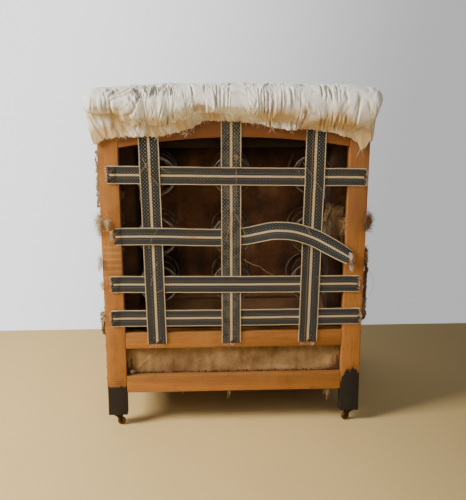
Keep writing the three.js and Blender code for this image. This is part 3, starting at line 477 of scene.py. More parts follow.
@once
def fibre(kind):
    """Twine, hair, and the threads of torn cloth."""
    base = {
        "twine": chosen("twine"), "hair": chosen("hair"), "jute": chosen("hessian", 1.3),
        "pale": linear(232, 222, 200), "fluff": linear(252, 234, 198), "curled": linear(140, 98, 56),
    }[kind]
    finish = Finish("fibre_" + kind, roughness=0.85)
    place = finish.place()
    tone = finish.noise(place, 75, 3, 0.6)
    colour = finish.mix(tone.rise(0.3, 0.7), shade_of(base, 0.62), shade_of(base, 1.25))
    return finish.done(colour, 0.8 + 0.15 * tone, finish.bump(finish.noise(place, 1500, 2), 0.4, 0.0003))


@once
def tack_iron():
    finish = Finish("tack_heads", roughness=0.5, metallic=0.5)
    rust = finish.noise(finish.place(), 300, 4, 0.6).rise(0.4, 0.65)
    colour = finish.mix(rust, linear(62, 56, 50), linear(104, 64, 36))
    return finish.done(colour, 0.45 + 0.3 * rust)


@once
def stage_floor():
    """A plain pale floor, darker away from the key light."""
    finish = Finish("pale_floor", roughness=0.7)
    place = finish.place()
    soft = finish.noise(finish.scaled(place, (1.0, 0.3, 1.0)), 2.2, 4, 0.6)
    away = (0.1 - finish.parts(place)[0]).rise(0.0, 1.0)
    colour = finish.layered(
        chosen("floor", 0.93), (soft.rise(0.3, 0.75), chosen("floor")), (away, chosen("floor", 0.55)))
    return finish.done(colour, 0.62 + 0.15 * soft)


@once
def stage_wall():
    """A backdrop that gives off a little light, less of it away from the key light."""
    finish = Finish("pale_wall", roughness=1.0)
    x, _, z = finish.parts(finish.place())
    glow = finish.mix((x + 0.25 * z).rise(-1.5, 1.7), chosen("wall", 0.3), chosen("wall"))
    finish.feed(finish.shader.inputs["Emission Color"], glow)
    finish.shader.inputs["Emission Strength"].default_value = 2.2
    return finish.done(linear(20, 20, 20))


# Making pieces

def on_back(across, out, height):
    """A point on the leaning back: out is how far it stands behind the posts' rear faces."""
    return on_back_along(across, out, up_along(height))


def on_back_along(across, out, up):
    return Vector((
        across * MM,
        (BACK_Y + out * math.cos(RAKE) + up * math.sin(RAKE)) * MM,
        (KNEE - out * math.sin(RAKE) + up * math.cos(RAKE)) * MM,
    ))


def select_only(obj):
    bpy.ops.object.select_all(action="DESELECT")
    obj.select_set(True)
    bpy.context.view_layer.objects.active = obj


def new_object(name, mesh):
    obj = bpy.data.objects.new(name, mesh)
    bpy.context.scene.collection.objects.link(obj)
    return obj


def from_points(name, points, faces, map_places=None, painted=None):
    """A piece from points and faces, with its map and painted values, one for each point."""
    mesh = bpy.data.meshes.new(name)
    mesh.from_pydata([tuple(p) for p in points], [], faces)
    if map_places:
        layer = mesh.uv_layers.new(name="UVMap")
        for loop in mesh.loops:
            layer.data[loop.index].uv = map_places[loop.vertex_index]
    for key, values in (painted or {}).items():
        mesh.attributes.new(key, "FLOAT", "POINT").data.foreach_set("value", values)
    mesh.update()
    return new_object(name, mesh)


def grid_faces(rows, columns, closed=False):
    faces = []
    for r in range(rows - 1):
        for c in range(columns if closed else columns - 1):
            n = (c + 1) % columns
            faces.append((r * columns + c, r * columns + n, (r + 1) * columns + n, (r + 1) * columns + c))
    return faces


def apply_modifier(obj, kind, **settings):
    select_only(obj)
    modifier = obj.modifiers.new(kind.lower(), kind)
    for key, value in settings.items():
        setattr(modifier, key, value)
    bpy.ops.object.modifier_apply(modifier=modifier.name)


def edit(obj, *steps):
    """Runs operators on the whole of a mesh in edit mode. Each step is an operator and its settings."""
    select_only(obj)
    bpy.ops.object.mode_set(mode="EDIT")
    bpy.ops.mesh.select_all(action="SELECT")
    for operator, settings in steps:
        operator(**settings)
    bpy.ops.object.mode_set(mode="OBJECT")


def finish_piece(obj, material, replaced=(), body="root", smooth=None):
    """Gives a piece its finish and its place in the model."""
    obj.data.materials.clear()
    obj.data.materials.append(material)
    select_only(obj)
    if smooth is None:
        bpy.ops.object.shade_smooth()
    else:
        bpy.ops.object.shade_smooth_by_angle(angle=math.radians(smooth))
    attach(obj, body)
    if replaced:
        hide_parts(*replaced)
    return obj


def thickened(obj, thickness, *steps):
    """A sheet given its thickness, once its faces all look the same way."""
    edit(obj, *steps, (bpy.ops.mesh.normals_make_consistent, {"inside": False}))
    apply_modifier(obj, "SOLIDIFY", thickness=thickness * MM, offset=0)
    return obj


def cloth_grid(name, columns, rows, place):
    """A sheet from place(s, t), which gives each point and how much darker the cloth is painted there."""
    points, soil = zip(*(place(c / (columns - 1), r / (rows - 1)) for r in range(rows) for c in range(columns)))
    return from_points(name, points, grid_faces(rows, columns), painted={"soil": soil})


def copy_of_node(node, name):
    """A piece with the plain model's mesh, merged into whole faces."""
    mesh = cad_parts[node].data.copy()
    mesh.materials.clear()
    obj = new_object(name, mesh)
    edit(obj, (bpy.ops.mesh.remove_doubles, {"threshold": 0.00001}),
         (bpy.ops.mesh.dissolve_limited, {"angle_limit": math.radians(1.0)}))
    return obj


def joined(name, objs):
    bpy.ops.object.select_all(action="DESELECT")
    for obj in objs:
        obj.select_set(True)
    bpy.context.view_layer.objects.active = objs[0]
    bpy.ops.object.join()
    objs[0].name = name
    return objs[0]


def shaken(rng, size):
    """A random move of up to a size each way along x, y and z."""
    return Vector([rng.uniform(-size, size) for _ in range(3)])


def frame_along(direction):
    """Two directions square to a path."""
    side = direction.cross(UPWARD)
    if side.length < 1e-4:
        side = direction.cross(SIDEWAYS)
    side.normalize()
    return side, side.cross(direction).normalized()


class Strands:
    """Many thin threads, hairs or stitches, kept as one mesh."""

    def __init__(self):
        self.points = []
        self.faces = []

    def add(self, path, radius, sides=3, taper=0.6):
        """A tube along a path in metres. Its end is thinner by the taper."""
        base, count = len(self.points), len(path)
        for i, point in enumerate(path):
            direction = path[min(i + 1, count - 1)] - path[max(i - 1, 0)]
            side, up = frame_along(direction.normalized() if direction.length > 1e-9 else UPWARD)
            wide = radius * (1 - (1 - taper) * i / max(count - 1, 1))
            for k in range(sides):
                turn = 2 * math.pi * k / sides
                self.points.append(point + side * (wide * math.cos(turn)) + up * (wide * math.sin(turn)))
        ends = [tuple(reversed(range(sides))), tuple((count - 1) * sides + k for k in range(sides))]
        for face in grid_faces(count, sides, closed=True) + ends:
            self.faces.append(tuple(base + k for k in face))

    def wisp(self, root, direction, length, radius, curl, rng, steps=6, droop=0.0):
        """A curled hair or thread from a root, which bends at random as it goes."""
        path, heading = [root], direction.normalized()
        for _ in range(steps):
            bend = shaken(rng, 1) * curl
            heading = (heading + bend - UPWARD * droop).normalized()
            path.append(path[-1] + heading * (length / steps))
        self.add(path, radius, taper=0.5)

    def piece(self, name, material, slot):
        return finish_piece(from_points(name, self.points, self.faces), material)


def run_lengths(points):
    """How far along a path each of its points lies. A fourth number, the twist, doesn't count."""
    lengths = [0.0]
    for a, b in zip(points, points[1:]):
        lengths.append(lengths[-1] + math.dist(a[:3], b[:3]))
    return lengths


def point_at(points, lengths, distance):
    """The place at a distance along a path."""
    i = min(max(bisect_left(lengths, distance) - 1, 0), len(points) - 2)
    share = (distance - lengths[i]) / max(lengths[i + 1] - lengths[i], 1e-9)
    return tuple(a + (b - a) * share for a, b in zip(points[i], points[i + 1]))


def smooth_path(points, step, reach):
    """Points at even steps along a path, with its corners rounded over a reach. All in mm."""
    lengths = run_lengths(points)
    whole = lengths[-1]
    count = max(2, round(whole / step) + 1)
    places = []
    for i in range(count):
        centre = whole * i / (count - 1)
        spread = min(reach, centre, whole - centre)
        samples = [point_at(points, lengths, min(max(centre + spread * k / 4, 0.0), whole)) for k in range(-4, 5)]
        places.append([sum(values) / len(samples) for values in zip(*samples)])
    return places


def strip(name, path, width, across, sway=0.5, seed=1, reach=9, turned=(True, True)):
    """A web laid along a path of (x, out, up, twist) on the leaning back, with turned-back ends."""
    columns, step, thickness, fold = 11, 4.0, 1.7, 22
    lift = Vector((0, 1.95, 0))
    for at_start, wanted in zip((True, False), turned):
        if not wanted:
            continue
        first, second = (path[0], path[1]) if at_start else (path[-1], path[-2])
        tip = Vector(first[:3])
        away = (tip - Vector(second[:3])).normalized()
        extra = [(*p, first[3]) for p in (tip + away * 0.9 + lift * 0.5, tip + lift, tip - away * fold + lift)]
        path = extra[::-1] + path if at_start else path + extra
    body = smooth_path(path, step, reach)
    places = [Vector(p[:3]) for p in body]
    points, map_places = [], []
    for i, (gone, here) in enumerate(zip(run_lengths(places), places)):
        heading = (places[min(i + 1, len(body) - 1)] - places[max(i - 1, 0)]).normalized()
        side = (across - heading * across.dot(heading)).normalized()
        side = Matrix.Rotation(math.radians(body[i][3]), 3, heading) @ side
        outward = heading.cross(side)
        if outward.y < 0:
            outward = -outward
        wander = 0.5 * wobble(gone * 0.03, seed * 3.1, 5)
        for k in range(columns):
            u = k / (columns - 1)
            ripple = sway * wobble(gone * 0.02 + seed * 7, u * 1.4, seed)
            cup = 0.35 * (2 * u - 1) ** 4
            points.append(on_back_along(
                *here + side * ((u - 0.5) * width + wander) + outward * (max(0.0, ripple) + cup)))
            map_places.append((u, gone / width))
    return thickened(from_points(name, points, grid_faces(len(body), columns), map_places), thickness)


# The pieces

class PieceOperator:
    """What the operators of the chair share."""
    bl_options = {"REGISTER", "UNDO"}

    def execute(self, context):
        self.make(context)
        return {"FINISHED"}


class CHAIR_OT_stage(PieceOperator, bpy.types.Operator):
    """Makes the floor, the lights and the camera"""
    bl_idname = "chair.stage"
    bl_label = "Stage"

    def make(self, context):
        self.floor()
        self.wall()
        self.camera(context)
        self.lights(context)

    def plane(self, name, corners, material):
        """A plane through four corners."""
        bpy.ops.mesh.primitive_plane_add(size=1)
        plane = bpy.context.object
        plane.name = name
        for vertex, corner in zip(plane.data.vertices, corners):
            vertex.co = corner
        plane.data.materials.append(material)
        return plane

    def floor(self):
        """The floor ends under the far side of the chair, as a studio board does."""
        far, near, side, drop = -0.56, 5.0, 5.0, -0.0004
        corners = ((-side, far, drop), (side, far, drop), (-side, near, drop), (side, near, drop))
        self.plane("floor", corners, stage_floor())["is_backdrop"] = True

    def wall(self):
        """The backdrop is seen, but doesn't light the chair."""
        half, behind, low, high = 12, -3.6, -4, 6
        corners = ((half, behind, low), (-half, behind, low), (half, behind, high), (-half, behind, high))
        wall = self.plane("wall", corners, stage_wall())
        wall.visible_diffuse = False
        wall.visible_glossy = False
        wall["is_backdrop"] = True

    def camera(self, context):
        """A camera fitted to the photo: yaw, pitch and roll, its place and its lens."""
        yaw, pitch, roll = (math.radians(angle) for angle in (-2.68, 12.61, -0.12))
        turn = Matrix.Rotation(yaw, 3, "Z")
        ahead, right = turn @ Vector((0, -1, 0)), turn @ Vector((-1, 0, 0))
        look = ahead * math.cos(pitch) - UPWARD * math.sin(pitch)
        top = ahead * math.sin(pitch) + UPWARD * math.cos(pitch)
        right, top = right * math.cos(roll) + top * math.sin(roll), top * math.cos(roll) - right * math.sin(roll)
        data = bpy.data.cameras.new("camera")
        data.lens = 57.6
        data.sensor_width = 36
        camera = new_object("camera", data)
        matrix = Matrix((right, top, -look)).transposed().to_4x4()
        matrix.translation = Vector((0.099, 2.3552, 0.953))
        camera.matrix_world = matrix
        context.scene.camera = camera

    def lights(self, context):
        """A key light at the left of the photo, a soft one above the camera and one at the chair's front."""
        target = Vector((0, 0.3, 0.5))
        for name, place, size, power, tone in (
            ("key", (2.8, 1.4, 2.3), 1.2, 212, (1.0, 0.97, 0.93)),
            ("fill", (-0.6, 2.9, 2.4), 2.2, 24, (0.97, 0.98, 1.0)),
            ("front", (1.0, -2.8, 2.6), 2.4, 36, (1.0, 0.98, 0.96)),
        ):
            data = bpy.data.lights.new(name, "AREA")
            data.size = size
            data.energy = power
            data.color = tone
            light = new_object(name, data)
            light.location = place
            light.rotation_euler = (target - light.location).to_track_quat("-Z", "Y").to_euler()
        context.scene.world = bpy.data.worlds.new("studio")
        context.scene.world.use_nodes = True
        tone, strength = context.scene.world.node_tree.nodes["Background"].inputs[:2]
        tone.default_value = (0.62, 0.63, 0.64, 1)
        strength.default_value = 0.24


class CHAIR_OT_beech_frame(PieceOperator, bpy.types.Operator):
    """Rounds and finishes the beech members of the frame"""
    bl_idname = "chair.beech_frame"
    bl_label = "Beech frame"

    def make(self, context):
        wear = context.scene.chair_sizes.edge_wear
        members = {
            2: ["back_post_left", "back_post_right", "front_post_left", "front_post_right"],
            0: ["top_rail", "back_tacking_rail", "back_seat_rail", "front_seat_rail"],
            1: [f"{rail}_{side}" for rail in ("side_seat_rail", "arm_tacking_rail", "arm_rail") for side in SIDES],
        }
        for axis, nodes in members.items():
            for node in nodes:
                member = copy_of_node(node, "beech_" + node)
                apply_modifier(member, "BEVEL", width=wear, segments=3, limit_method="ANGLE",
                               angle_limit=math.radians(35))
                finish_piece(member, beech(axis), [node], smooth=40)


class CHAIR_OT_back_webbing(PieceOperator, bpy.types.Operator):
    """Makes the webs of the back, one of them torn loose"""
    bl_idname = "chair.back_webbing"
    bl_label = "Back webbing"

    def make(self, context):
        sizes = context.scene.chair_sizes
        cross_width, width = sizes.cross_web_width / MM, sizes.web_width / MM
        for n, number in enumerate((1, 3, 4)):
            (x0, h0), (x1, h1) = CROSS_WEB_ENDS[number]
            path = [(x0 + (x1 - x0) * t, CROSS_LEVEL, up_along(h0 + (h1 - h0) * t) - 1.2 * math.sin(math.pi * t), 0)
                    for t in (0, 0.25, 0.5, 0.75, 1)]
            web = strip(f"web_cross_{number}", path, cross_width, UPWARD, sway=0.4, seed=n + 2)
            finish_piece(web, webbing("plain"), [f"back_web_cross_{number}"], smooth=50)
        # Each upright has its place at the top and at the bottom, where it goes over (1) or under, and its weave
        columns = {
            "left": (217, 207, (1, -1, 1, 1), "plain"),
            "middle": (9, 8, (-1, 1, -1, 1), "faded"),
            "right": (-207, -199, (1, -1, 1, 1), "two_lines"),
        }
        top, bottom, flat = 846, 233, cross_width / 2 + 7
        for n, (column, (x_top, x_bottom, weave, fade)) in enumerate(columns.items()):
            def point(height, level):
                share = (top - height) / (top - bottom)
                return (x_top + (x_bottom - x_top) * share, level, up_along(height), 0)
            path = [point(top, CROSS_LEVEL), point(RAIL_CORNER, CROSS_LEVEL)]
            for height, over in zip(CROSSINGS, weave):
                level = OVER_LEVEL if over > 0 else UNDER_LEVEL
                path += [point(height + flat, level), point(height - flat, level)]
            path += [point(268, CROSS_LEVEL), point(bottom, CROSS_LEVEL)]
            web = strip(f"web_upright_{column}", path, width, SIDEWAYS, sway=0.3, seed=n + 11)
            finish_piece(web, webbing(fade), [f"back_web_upright_{column}"], smooth=50)
        self.loose_web(cross_width)

    def loose_web(self, width):
        """The second cross web, torn away at the right, hangs slack there."""
        over, cross = OVER_LEVEL, CROSS_LEVEL
        route = [
            (316, cross, 536, 0), (290, cross, 537, 0), (250, over, 537, 0), (166, over, 536, 0),
            (110, cross, 533, 0), (60, cross, 531, 0), (-26, cross, 533, 0), (-62, over, 541, -6),
            (-100, over + 3, 550, -14), (-150, over + 3, 548, -10), (-205, over + 3, 531, -6),
            (-250, over + 9, 507, -22), (-280, over + 15, 490, -38), (-300, over + 19, 479, -52),
        ]
        path = [(x, out, up_along(height), twist) for x, out, height, twist in route]
        web = strip("web_cross_2_loose", path, width, UPWARD, sway=0.5, seed=5, reach=20, turned=(True, False))
        finish_piece(web, webbing("plain"), ["back_web_cross_2_loose"], smooth=50)


def coil(name, length, turns, waist, wire, seed, radius=50):
    """An hourglass spring that stands on the origin, its ends closed into rings."""
    steps, flat = 26, 0.9
    total = turns + 2 * flat
    path = []
    for i in range(round(total * steps) + 1):
        turn = i / steps
        share = within((turn - flat) / turns)
        height = length * (share - 0.35 * math.sin(2 * math.pi * share) / (2 * math.pi))
        height += wire * 1.05 * min(turn / flat, 1.0)
        around = radius - (radius - waist) * math.sin(math.pi * share) ** 2
        around -= 0.6 * wire * (turn < 0.15 or turn > total - 0.15)
        path.append(Vector((around * math.cos(2 * math.pi * turn), around * math.sin(2 * math.pi * turn), height)))
    lowest, highest = min(p.z for p in path), max(p.z for p in path)
    for p in path:
        p.z = (p.z - lowest) / (highest - lowest) * length
    strands = Strands()
    strands.add([p * MM for p in path], wire / 2 * MM, sides=8, taper=1.0)
    obj = from_points(name, strands.points, strands.faces)
    obj.data.transform(Matrix.Rotation(random.Random(seed).uniform(0, 2 * math.pi), 4, "Z"))
    return obj


class CHAIR_OT_springs(PieceOperator, bpy.types.Operator):
    """Makes the coil springs of the back and the seat"""
    bl_idname = "chair.springs"
    bl_label = "Springs"

    def make(self, context):
        wire = context.scene.chair_sizes.wire / MM
        seat = wire / 2 + 0.3
        over_web, under_web = CROSS_LEVEL, UNDER_LEVEL
        levels = {"left": (over_web, under_web, over_web), "middle": (under_web, over_web, under_web),
                  "right": (over_web, under_web, over_web)}
        turn_out = Matrix.Rotation(math.pi / 2 - RAKE, 4, "X")
        rng = random.Random(31)
        for name, x in BACK_SPRING_X.items():
            for row in range(3):
                level = levels[name][row] - 0.9 - seat
                length = level - CANVAS_LEVEL - seat
                obj = coil(f"coil_back_{name}_{row + 1}", length, turns=4, waist=33, wire=wire,
                           seed=row * 3 + len(name))
                lean = Matrix.Rotation(math.radians(rng.uniform(-1.5, 1.5)), 4, "Z")
                obj.data.transform(Matrix.Translation(on_back(x, level, CROSSINGS[row])) @ turn_out @ lean)
                finish_piece(obj, steel(), [f"back_spring_{name}_{row + 1}"])
        low, high = 96.7 + seat, 285 - seat
        for column, x in {"left": 166.5, "middle": 0, "right": -166.5}.items():
            for row, y in {"front": -273.4, "centre": -106.3, "rear": 60.9}.items():
                obj = coil(f"coil_seat_{column}_{row}", high - low, turns=5, waist=30, wire=wire,
                           seed=len(column + row))
                obj.data.transform(Matrix.Translation(Vector((x, y, low)) * MM))
                finish_piece(obj, steel(), [f"seat_spring_{column}_{row}"])


class CHAIR_OT_spring_canvas(PieceOperator, bpy.types.Operator):
    """Makes the brown canvas behind the back springs, pressed in by them"""
    bl_idname = "chair.spring_canvas"
    bl_label = "Spring canvas"

    def make(self, context):
        mouth, bottom = (256, 24, 512), (251, 73, 497.5)
        side, walls = 72, 16
        rings = []
        for share in (1.0, 0.5, 0.0):
            half, grow = min(mouth[0] + 53.5 * share, 310.0), 24 * share
            rings.append((half, mouth[1] - grow, mouth[2] + grow, FRONT_OF_FRAME - 1.0))
        for i in range(1, walls + 1):
            t = i / walls
            half, low, high = (a + (b - a) * t for a, b in zip(mouth, bottom))
            rings.append((half, low, high, FRONT_OF_FRAME - 1 + (CANVAS_LEVEL + 0.9 - FRONT_OF_FRAME) * t))
        points, soil = [], []
        for r, (half, low, high, level) in enumerate(rings):
            for k in range(4 * side):
                x, up = self.ring_place(k, side, half, low, high)
                fold = abs(wobble(x * 0.03, up * 0.03, r * 0.2)) * (1.6 if 3 < r < walls + 2 else 0.0)
                points.append(on_back_along(x * (1 - fold * 0.003), level + fold * 0.7, up))
                # Painted light and shade round the canvas's mouth and walls: the bottom wall is painted paler, as if
                # lit from above, the top side darker, as if in shade, and the other sides a little darker.
                soil.append(-0.3 if r > 3 and k < side else 0.95 if 2 * side <= k < 3 * side else 0.6)
        faces = grid_faces(len(rings), 4 * side, closed=True)
        base = len(points)
        half, low, high = bottom
        for j in range(side + 1):
            for i in range(side + 1):
                x, up = -half + 2 * half * i / side, low + (high - low) * j / side
                points.append(on_back_along(x, self.level(x, up, bottom), up))
                # Painted light: a pale band low on the canvas, where light falls on it. Painted shade near the top
                # and at the left, painted light at the right; the rest is random tone.
                pale = math.exp(-((up - 76) / 15) ** 2) * (-190 < x < 190)
                soil.append(0.3 + 0.7 * wobble(x * 0.008, up * 0.008, 1) + 0.3 * (up > 440) - 0.9 * pale
                            + 0.3 * (x > 150) - 0.25 * (x < -20) + 0.3 * wobble(x * 0.03, up * 0.012, 5))
        faces += [tuple(base + k for k in face) for face in grid_faces(side + 1, side + 1)]
        edge = [base + k for k in self.rim_of_grid(side)]
        last = base - 4 * side
        for k in range(4 * side):
            n = (k + 1) % (4 * side)
            faces.append((last + k, last + n, edge[n], edge[k]))
        canvas = from_points("spring_canvas", points, faces, painted={"soil": soil})
        thickened(canvas, 1.0, (bpy.ops.mesh.remove_doubles, {"threshold": 0.0002}))
        finish_piece(canvas, hessian("canvas"), ["back_spring_canvas"])

    def ring_place(self, k, side, half, low, high):
        """The k-th point round a rectangle, with side points on each of its four sides."""
        edge, step = divmod(k, side)
        corners = ((-half, low), (half, low), (half, high), (-half, high))
        (x0, z0), (x1, z1) = corners[edge], corners[(edge + 1) % 4]
        return x0 + (x1 - x0) * step / side, z0 + (z1 - z0) * step / side

    def rim_of_grid(self, side):
        """The points round a square grid, in the order of ring_place."""
        row = side + 1
        first, second = list(range(side)), [j * row + side for j in range(side)]
        return first + second + [side * row + side - i for i in range(side)] + [(side - j) * row for j in range(side)]

    def level(self, x, up, bottom):
        """How the canvas swells between the springs, and wrinkles there."""
        half, low, high = bottom
        near = min(math.hypot(x - sx, up - up_along(h)) for sx in BACK_SPRING_X.values() for h in CROSSINGS[:3])
        rim = min(half - abs(x), up - low, high - up)
        swell = 5.5 * (1 - math.exp(-((near - 50) / 17) ** 2)) * min(1.0, rim / 26)
        wrinkle = wobble(x * 0.028 + up * 0.012, up * 0.05, 3) * 1.3
        crest = 2.2 * max(0.0, 1 - abs(wobble(x * 0.006, up * 0.013 - x * 0.004, 9)) * 9)
        return CANVAS_LEVEL + 0.9 + max(0.0, swell + (wrinkle + crest) * min(1.0, rim / 20) * (near > 56))


class CHAIR_OT_seat_back_hessian(PieceOperator, bpy.types.Operator):
    """Makes the tan hessian between the two lowest rails of the back"""
    bl_idname = "chair.seat_back_hessian"
    bl_label = "Seat back hessian"

    def make(self, context):
        half, low, high = HALF_INNER - 0.4, 145.2, 222.8

        def place(s, t):
            s = 2 * s - 1
            x, z = s * half, low + (high - low) * t
            belly = 5 * (1 - s * s) * math.sin(math.pi * t)
            crease = max(0.0, 1 - abs((x - 236) * 0.62 + (z - 184) * 0.8) / 5.0) * 2.0 * (190 < x)
            pucker = max(0.0, wobble(x * 0.055, z * 0.018, 2)) * 3.0 * (1 - t * 0.5)
            sag = wobble(x * 0.012, z * 0.02, 6) * 2.0
            fade = min(1.0, t * 6, (1 - t) * 6, (1 - abs(s)) * 18)
            torn = max(0.0, (abs(x) - 262) / 22) * (t < 0.4 + 0.2 * math.sin(x * 0.5))
            soil = 0.3 * (t < 0.1) + torn * 0.9 + 0.6 * wobble(x * 0.014, z * 0.035, 4)
            out = BACK_Y - 20 + belly + (crease + pucker + sag) * fade
            return Vector((x, out, z)) * MM, min(0.9, soil + 0.3 * wobble(x * 0.06, z * 0.03, 7))

        panel = thickened(cloth_grid("seat_back_hessian_panel", 220, 30, place), 1.0)
        finish_piece(panel, hessian("panel"), ["seat_back_hessian"])


def table(places):
    """A smooth value between places [(at, value), ...], held past both ends."""
    def value(at):
        if at <= places[0][0]:
            return places[0][1]
        for (a, low), (b, high) in zip(places, places[1:]):
            if at <= b:
                t = (at - a) / (b - a)
                return low + (high - low) * t * t * (3 - 2 * t)
        return places[-1][1]
    return value


# Heights of the torn hem and of the fold above it, and how far the crown sags, across the back
HEM = table([
    (-378, 880), (-362, 819), (-343, 779), (-321, 757), (-308, 779), (-284, 791), (-237, 804), (-179, 812),
    (-138, 810), (-98, 815), (-57, 826), (9, 832), (69, 834), (109, 816), (138, 805), (189, 795), (286, 794),
    (312, 790), (350, 776), (366, 800), (378, 880),
])
FOLD = table([
    (-378, 850), (-340, 820), (-300, 812), (-200, 822), (-100, 832), (0, 843), (42, 861), (81, 859), (136, 838),
    (175, 825), (240, 824), (270, 832), (300, 859), (330, 862), (378, 872),
])
CROWN = table([
    (-378, -16), (-345, -8), (-300, -2), (-40, 2), (110, 0), (175, 1), (240, -3), (300, -7), (345, -9), (378, -16),
])
# Creases of the gathered cloth: how close they lie, their lean and run, their depth in mm and a seed
CREASES = (
    (0.043, 0.0, 0.0045, 5.6, 2), (0.062, 0.55, 0.007, 3.8, 5),
    (0.062, -0.6, 0.007, 3.8, 8), (0.12, 0.1, 0.013, 2.0, 11),
)
# How strongly the cloth is gathered, across the back
GATHER = table([
    (-378, 0.5), (-330, 0.55), (-290, 0.6), (-230, 0.75), (-160, 1.0), (-100, 1.2), (-40, 1.0), (40, 0.75),
    (120, 0.8), (180, 1.0), (290, 1.0), (315, 0.6), (340, 0.35), (378, 0.4),
])


def ridge(value, sharp=1.6):
    """A sharp crest where a noise value crosses zero."""
    return max(0.0, 1 - abs(value) * 2.2) ** sharp


class CHAIR_OT_top_roll(PieceOperator, bpy.types.Operator):
    """Makes the gathered calico roll with its torn flap behind the top rail"""
    bl_idname = "chair.top_roll"
    bl_label = "Top roll"

    stations = 560
    around = 96
    half = 378

    def make(self, context):
        loops = [self.loop(-self.half + 2 * self.half * s / (self.stations - 1)) for s in range(self.stations)]
        places, aged, crease = zip(*(point for loop in loops for point in loop))
        points = [on_back_along(*place) for place in places]
        ring = len(loops[0])
        faces = grid_faces(self.stations, ring, closed=True)
        faces.append(tuple(range(ring)))
        faces.append(tuple((self.stations - 1) * ring + k for k in reversed(range(ring))))
        roll = from_points("calico_top_roll", points, faces, painted={"aged": aged, "crease": crease})
        edit(roll, (bpy.ops.mesh.normals_make_consistent, {"inside": False}))
        finish_piece(roll, calico(), ["back_upholstery"])

    def outline(self, x):
        """Corners of the roll's outline in (out, up) over the front, the top and down to the torn hem."""
        up, flap, crown = ROLL_MIDDLE, 8.6, CROWN(x)
        fold = up_along(FOLD(x))
        hem = min(up_along(HEM(x)), fold - 7)
        low = min(fold + 10, up - 22)
        return [
            (-112, up - 66), (-140, up - 46), (-155, up - 20), (-156, up + 4), (-140, up + 25),
            (-104, up + 37 + crown), (-52, up + 42 + crown), (-8, up + 43 + crown), (18, up + 36 + crown),
            (34, up + 20 + crown * 0.5), (40.5, up - 1), (36, low + 12),
            (24, low), (13, fold + 2), (flap + 1.5, fold - 4), (flap, (fold + hem) / 2), (flap - 0.4, hem),
        ]

    def loop(self, x):
        """One section of the roll, as points in (x, out, up), each with its age and its crease, which is painted as
        shade.
        """
        path = self.rounded(self.outline(x), self.around)
        pinch = min(max(0.0, abs(x) - (self.half - 34)) / 34, 1.0)
        fold_up = up_along(FOLD(x))
        loop = []
        for i, (length, (out, up)) in enumerate(zip(run_lengths(path), path)):
            before, after = path[max(i - 1, 0)], path[min(i + 1, self.around - 1)]
            heading = Vector((after[0] - before[0], after[1] - before[1])).normalized()
            behind = out > -20
            flap = up < fold_up - 2 and behind
            push, fold = self.gathers(x, length)
            strength = GATHER(x) * min(1.0, length / 60.0) * (0.45 if not behind else 1.0)
            if flap:
                strength *= 0.25 if x > 0 else 0.7
            spot = Vector((out, up)) + Vector((-heading.y, heading.x)) * push * strength
            if flap:
                lift, line = self.folds(x, up)
                spot.x = max(6.4, spot.x + lift)
                # The flap's fold lines are painted as shade too.
                fold = max(fold, line)
            if i >= self.around - 2:
                spot.y += 4.5 * wobble(x * 0.11, 3, 1) + 3.2 * wobble(x * 0.5, 9, 1)
            height_share = within((ROLL_MIDDLE + 6 - up) / 60) if behind else 0.25
            age = height_share * (0.95 if x < 0 else 0.65 + 0.4 * flap) + 0.1 * abs(x) / self.half
            age *= 0.75 + 0.9 * wobble(x * 0.014, up * 0.022, 8)
            loop.append((spot, age, fold * min(1.0, strength + 0.3)))
        hem = loop[-1][0]
        for place in ((min(hem.x - 1.3, 6.0), hem.y + 0.3), (4.6, ROLL_MIDDLE - 34), (-64, ROLL_MIDDLE - 34),
                      (-66, ROLL_MIDDLE - 64)):
            loop.append((Vector(place), 0.6, 0.3))
        return [(self.pinched(x, spot, pinch), age, fold) for spot, age, fold in loop]

    def pinched(self, x, spot, pinch):
        """The roll's ends are gathered in, and pulled towards the middle lower down."""
        middle = Vector((-30, ROLL_MIDDLE))
        out, up = middle + (spot - middle) * (0.42 + 0.58 * math.sqrt(1 - pinch ** 2))
        pull = math.copysign((24 if x < 0 else 10) * pinch ** 1.5, x)
        return x - pull * within((ROLL_MIDDLE + 36 - up) / 80), out, up

    def rounded(self, corners, count):
        """An even curve through the outline's corners."""
        spline = []
        for i in range(len(corners) - 1):
            four = corners[max(i - 1, 0)], corners[i], corners[i + 1], corners[min(i + 2, len(corners) - 1)]
            for k in range(8):
                t = k / 8
                spline.append(tuple(
                    0.5 * (2 * b + (c - a) * t + (2 * a - 5 * b + 4 * c - d) * t * t
                           + (3 * b - a - 3 * c + d) * t ** 3)
                    for a, b, c, d in zip(*four)))
        spline.append(corners[-1])
        lengths = run_lengths(spline)
        return [point_at(spline, lengths, lengths[-1] * (i / (count - 1))) for i in range(count)]

    def gathers(self, x, length):
        """How far the cloth puffs out here, and how deep in a crease it is."""
        across = x + 0.5 * wobble(x * 0.01, 4, 0) * length
        crossing = 0.4 + 0.9 * (150 < x < 320)
        lift, depth = 5.5 * wobble(across * 0.024, length * 0.012, 1), 0.0
        for close, lean, run, cut, seed in CREASES:
            line = abs(wobble((across + lean * length) * close, length * run, seed))
            here = within(0.5 + 3.0 * wobble(x * 0.019, length * 0.02, seed + 20))
            here *= crossing if abs(lean) > 0.3 else 1.1
            valley = max(0.0, 1 - line * 6.0) ** 1.4 * here
            crest = max(0.0, 1 - abs(line - 0.24) * 5.5) * here
            lift += cut * (0.4 * crest - valley)
            depth = max(depth, valley * min(1.0, cut / 3.5))
        return lift, depth

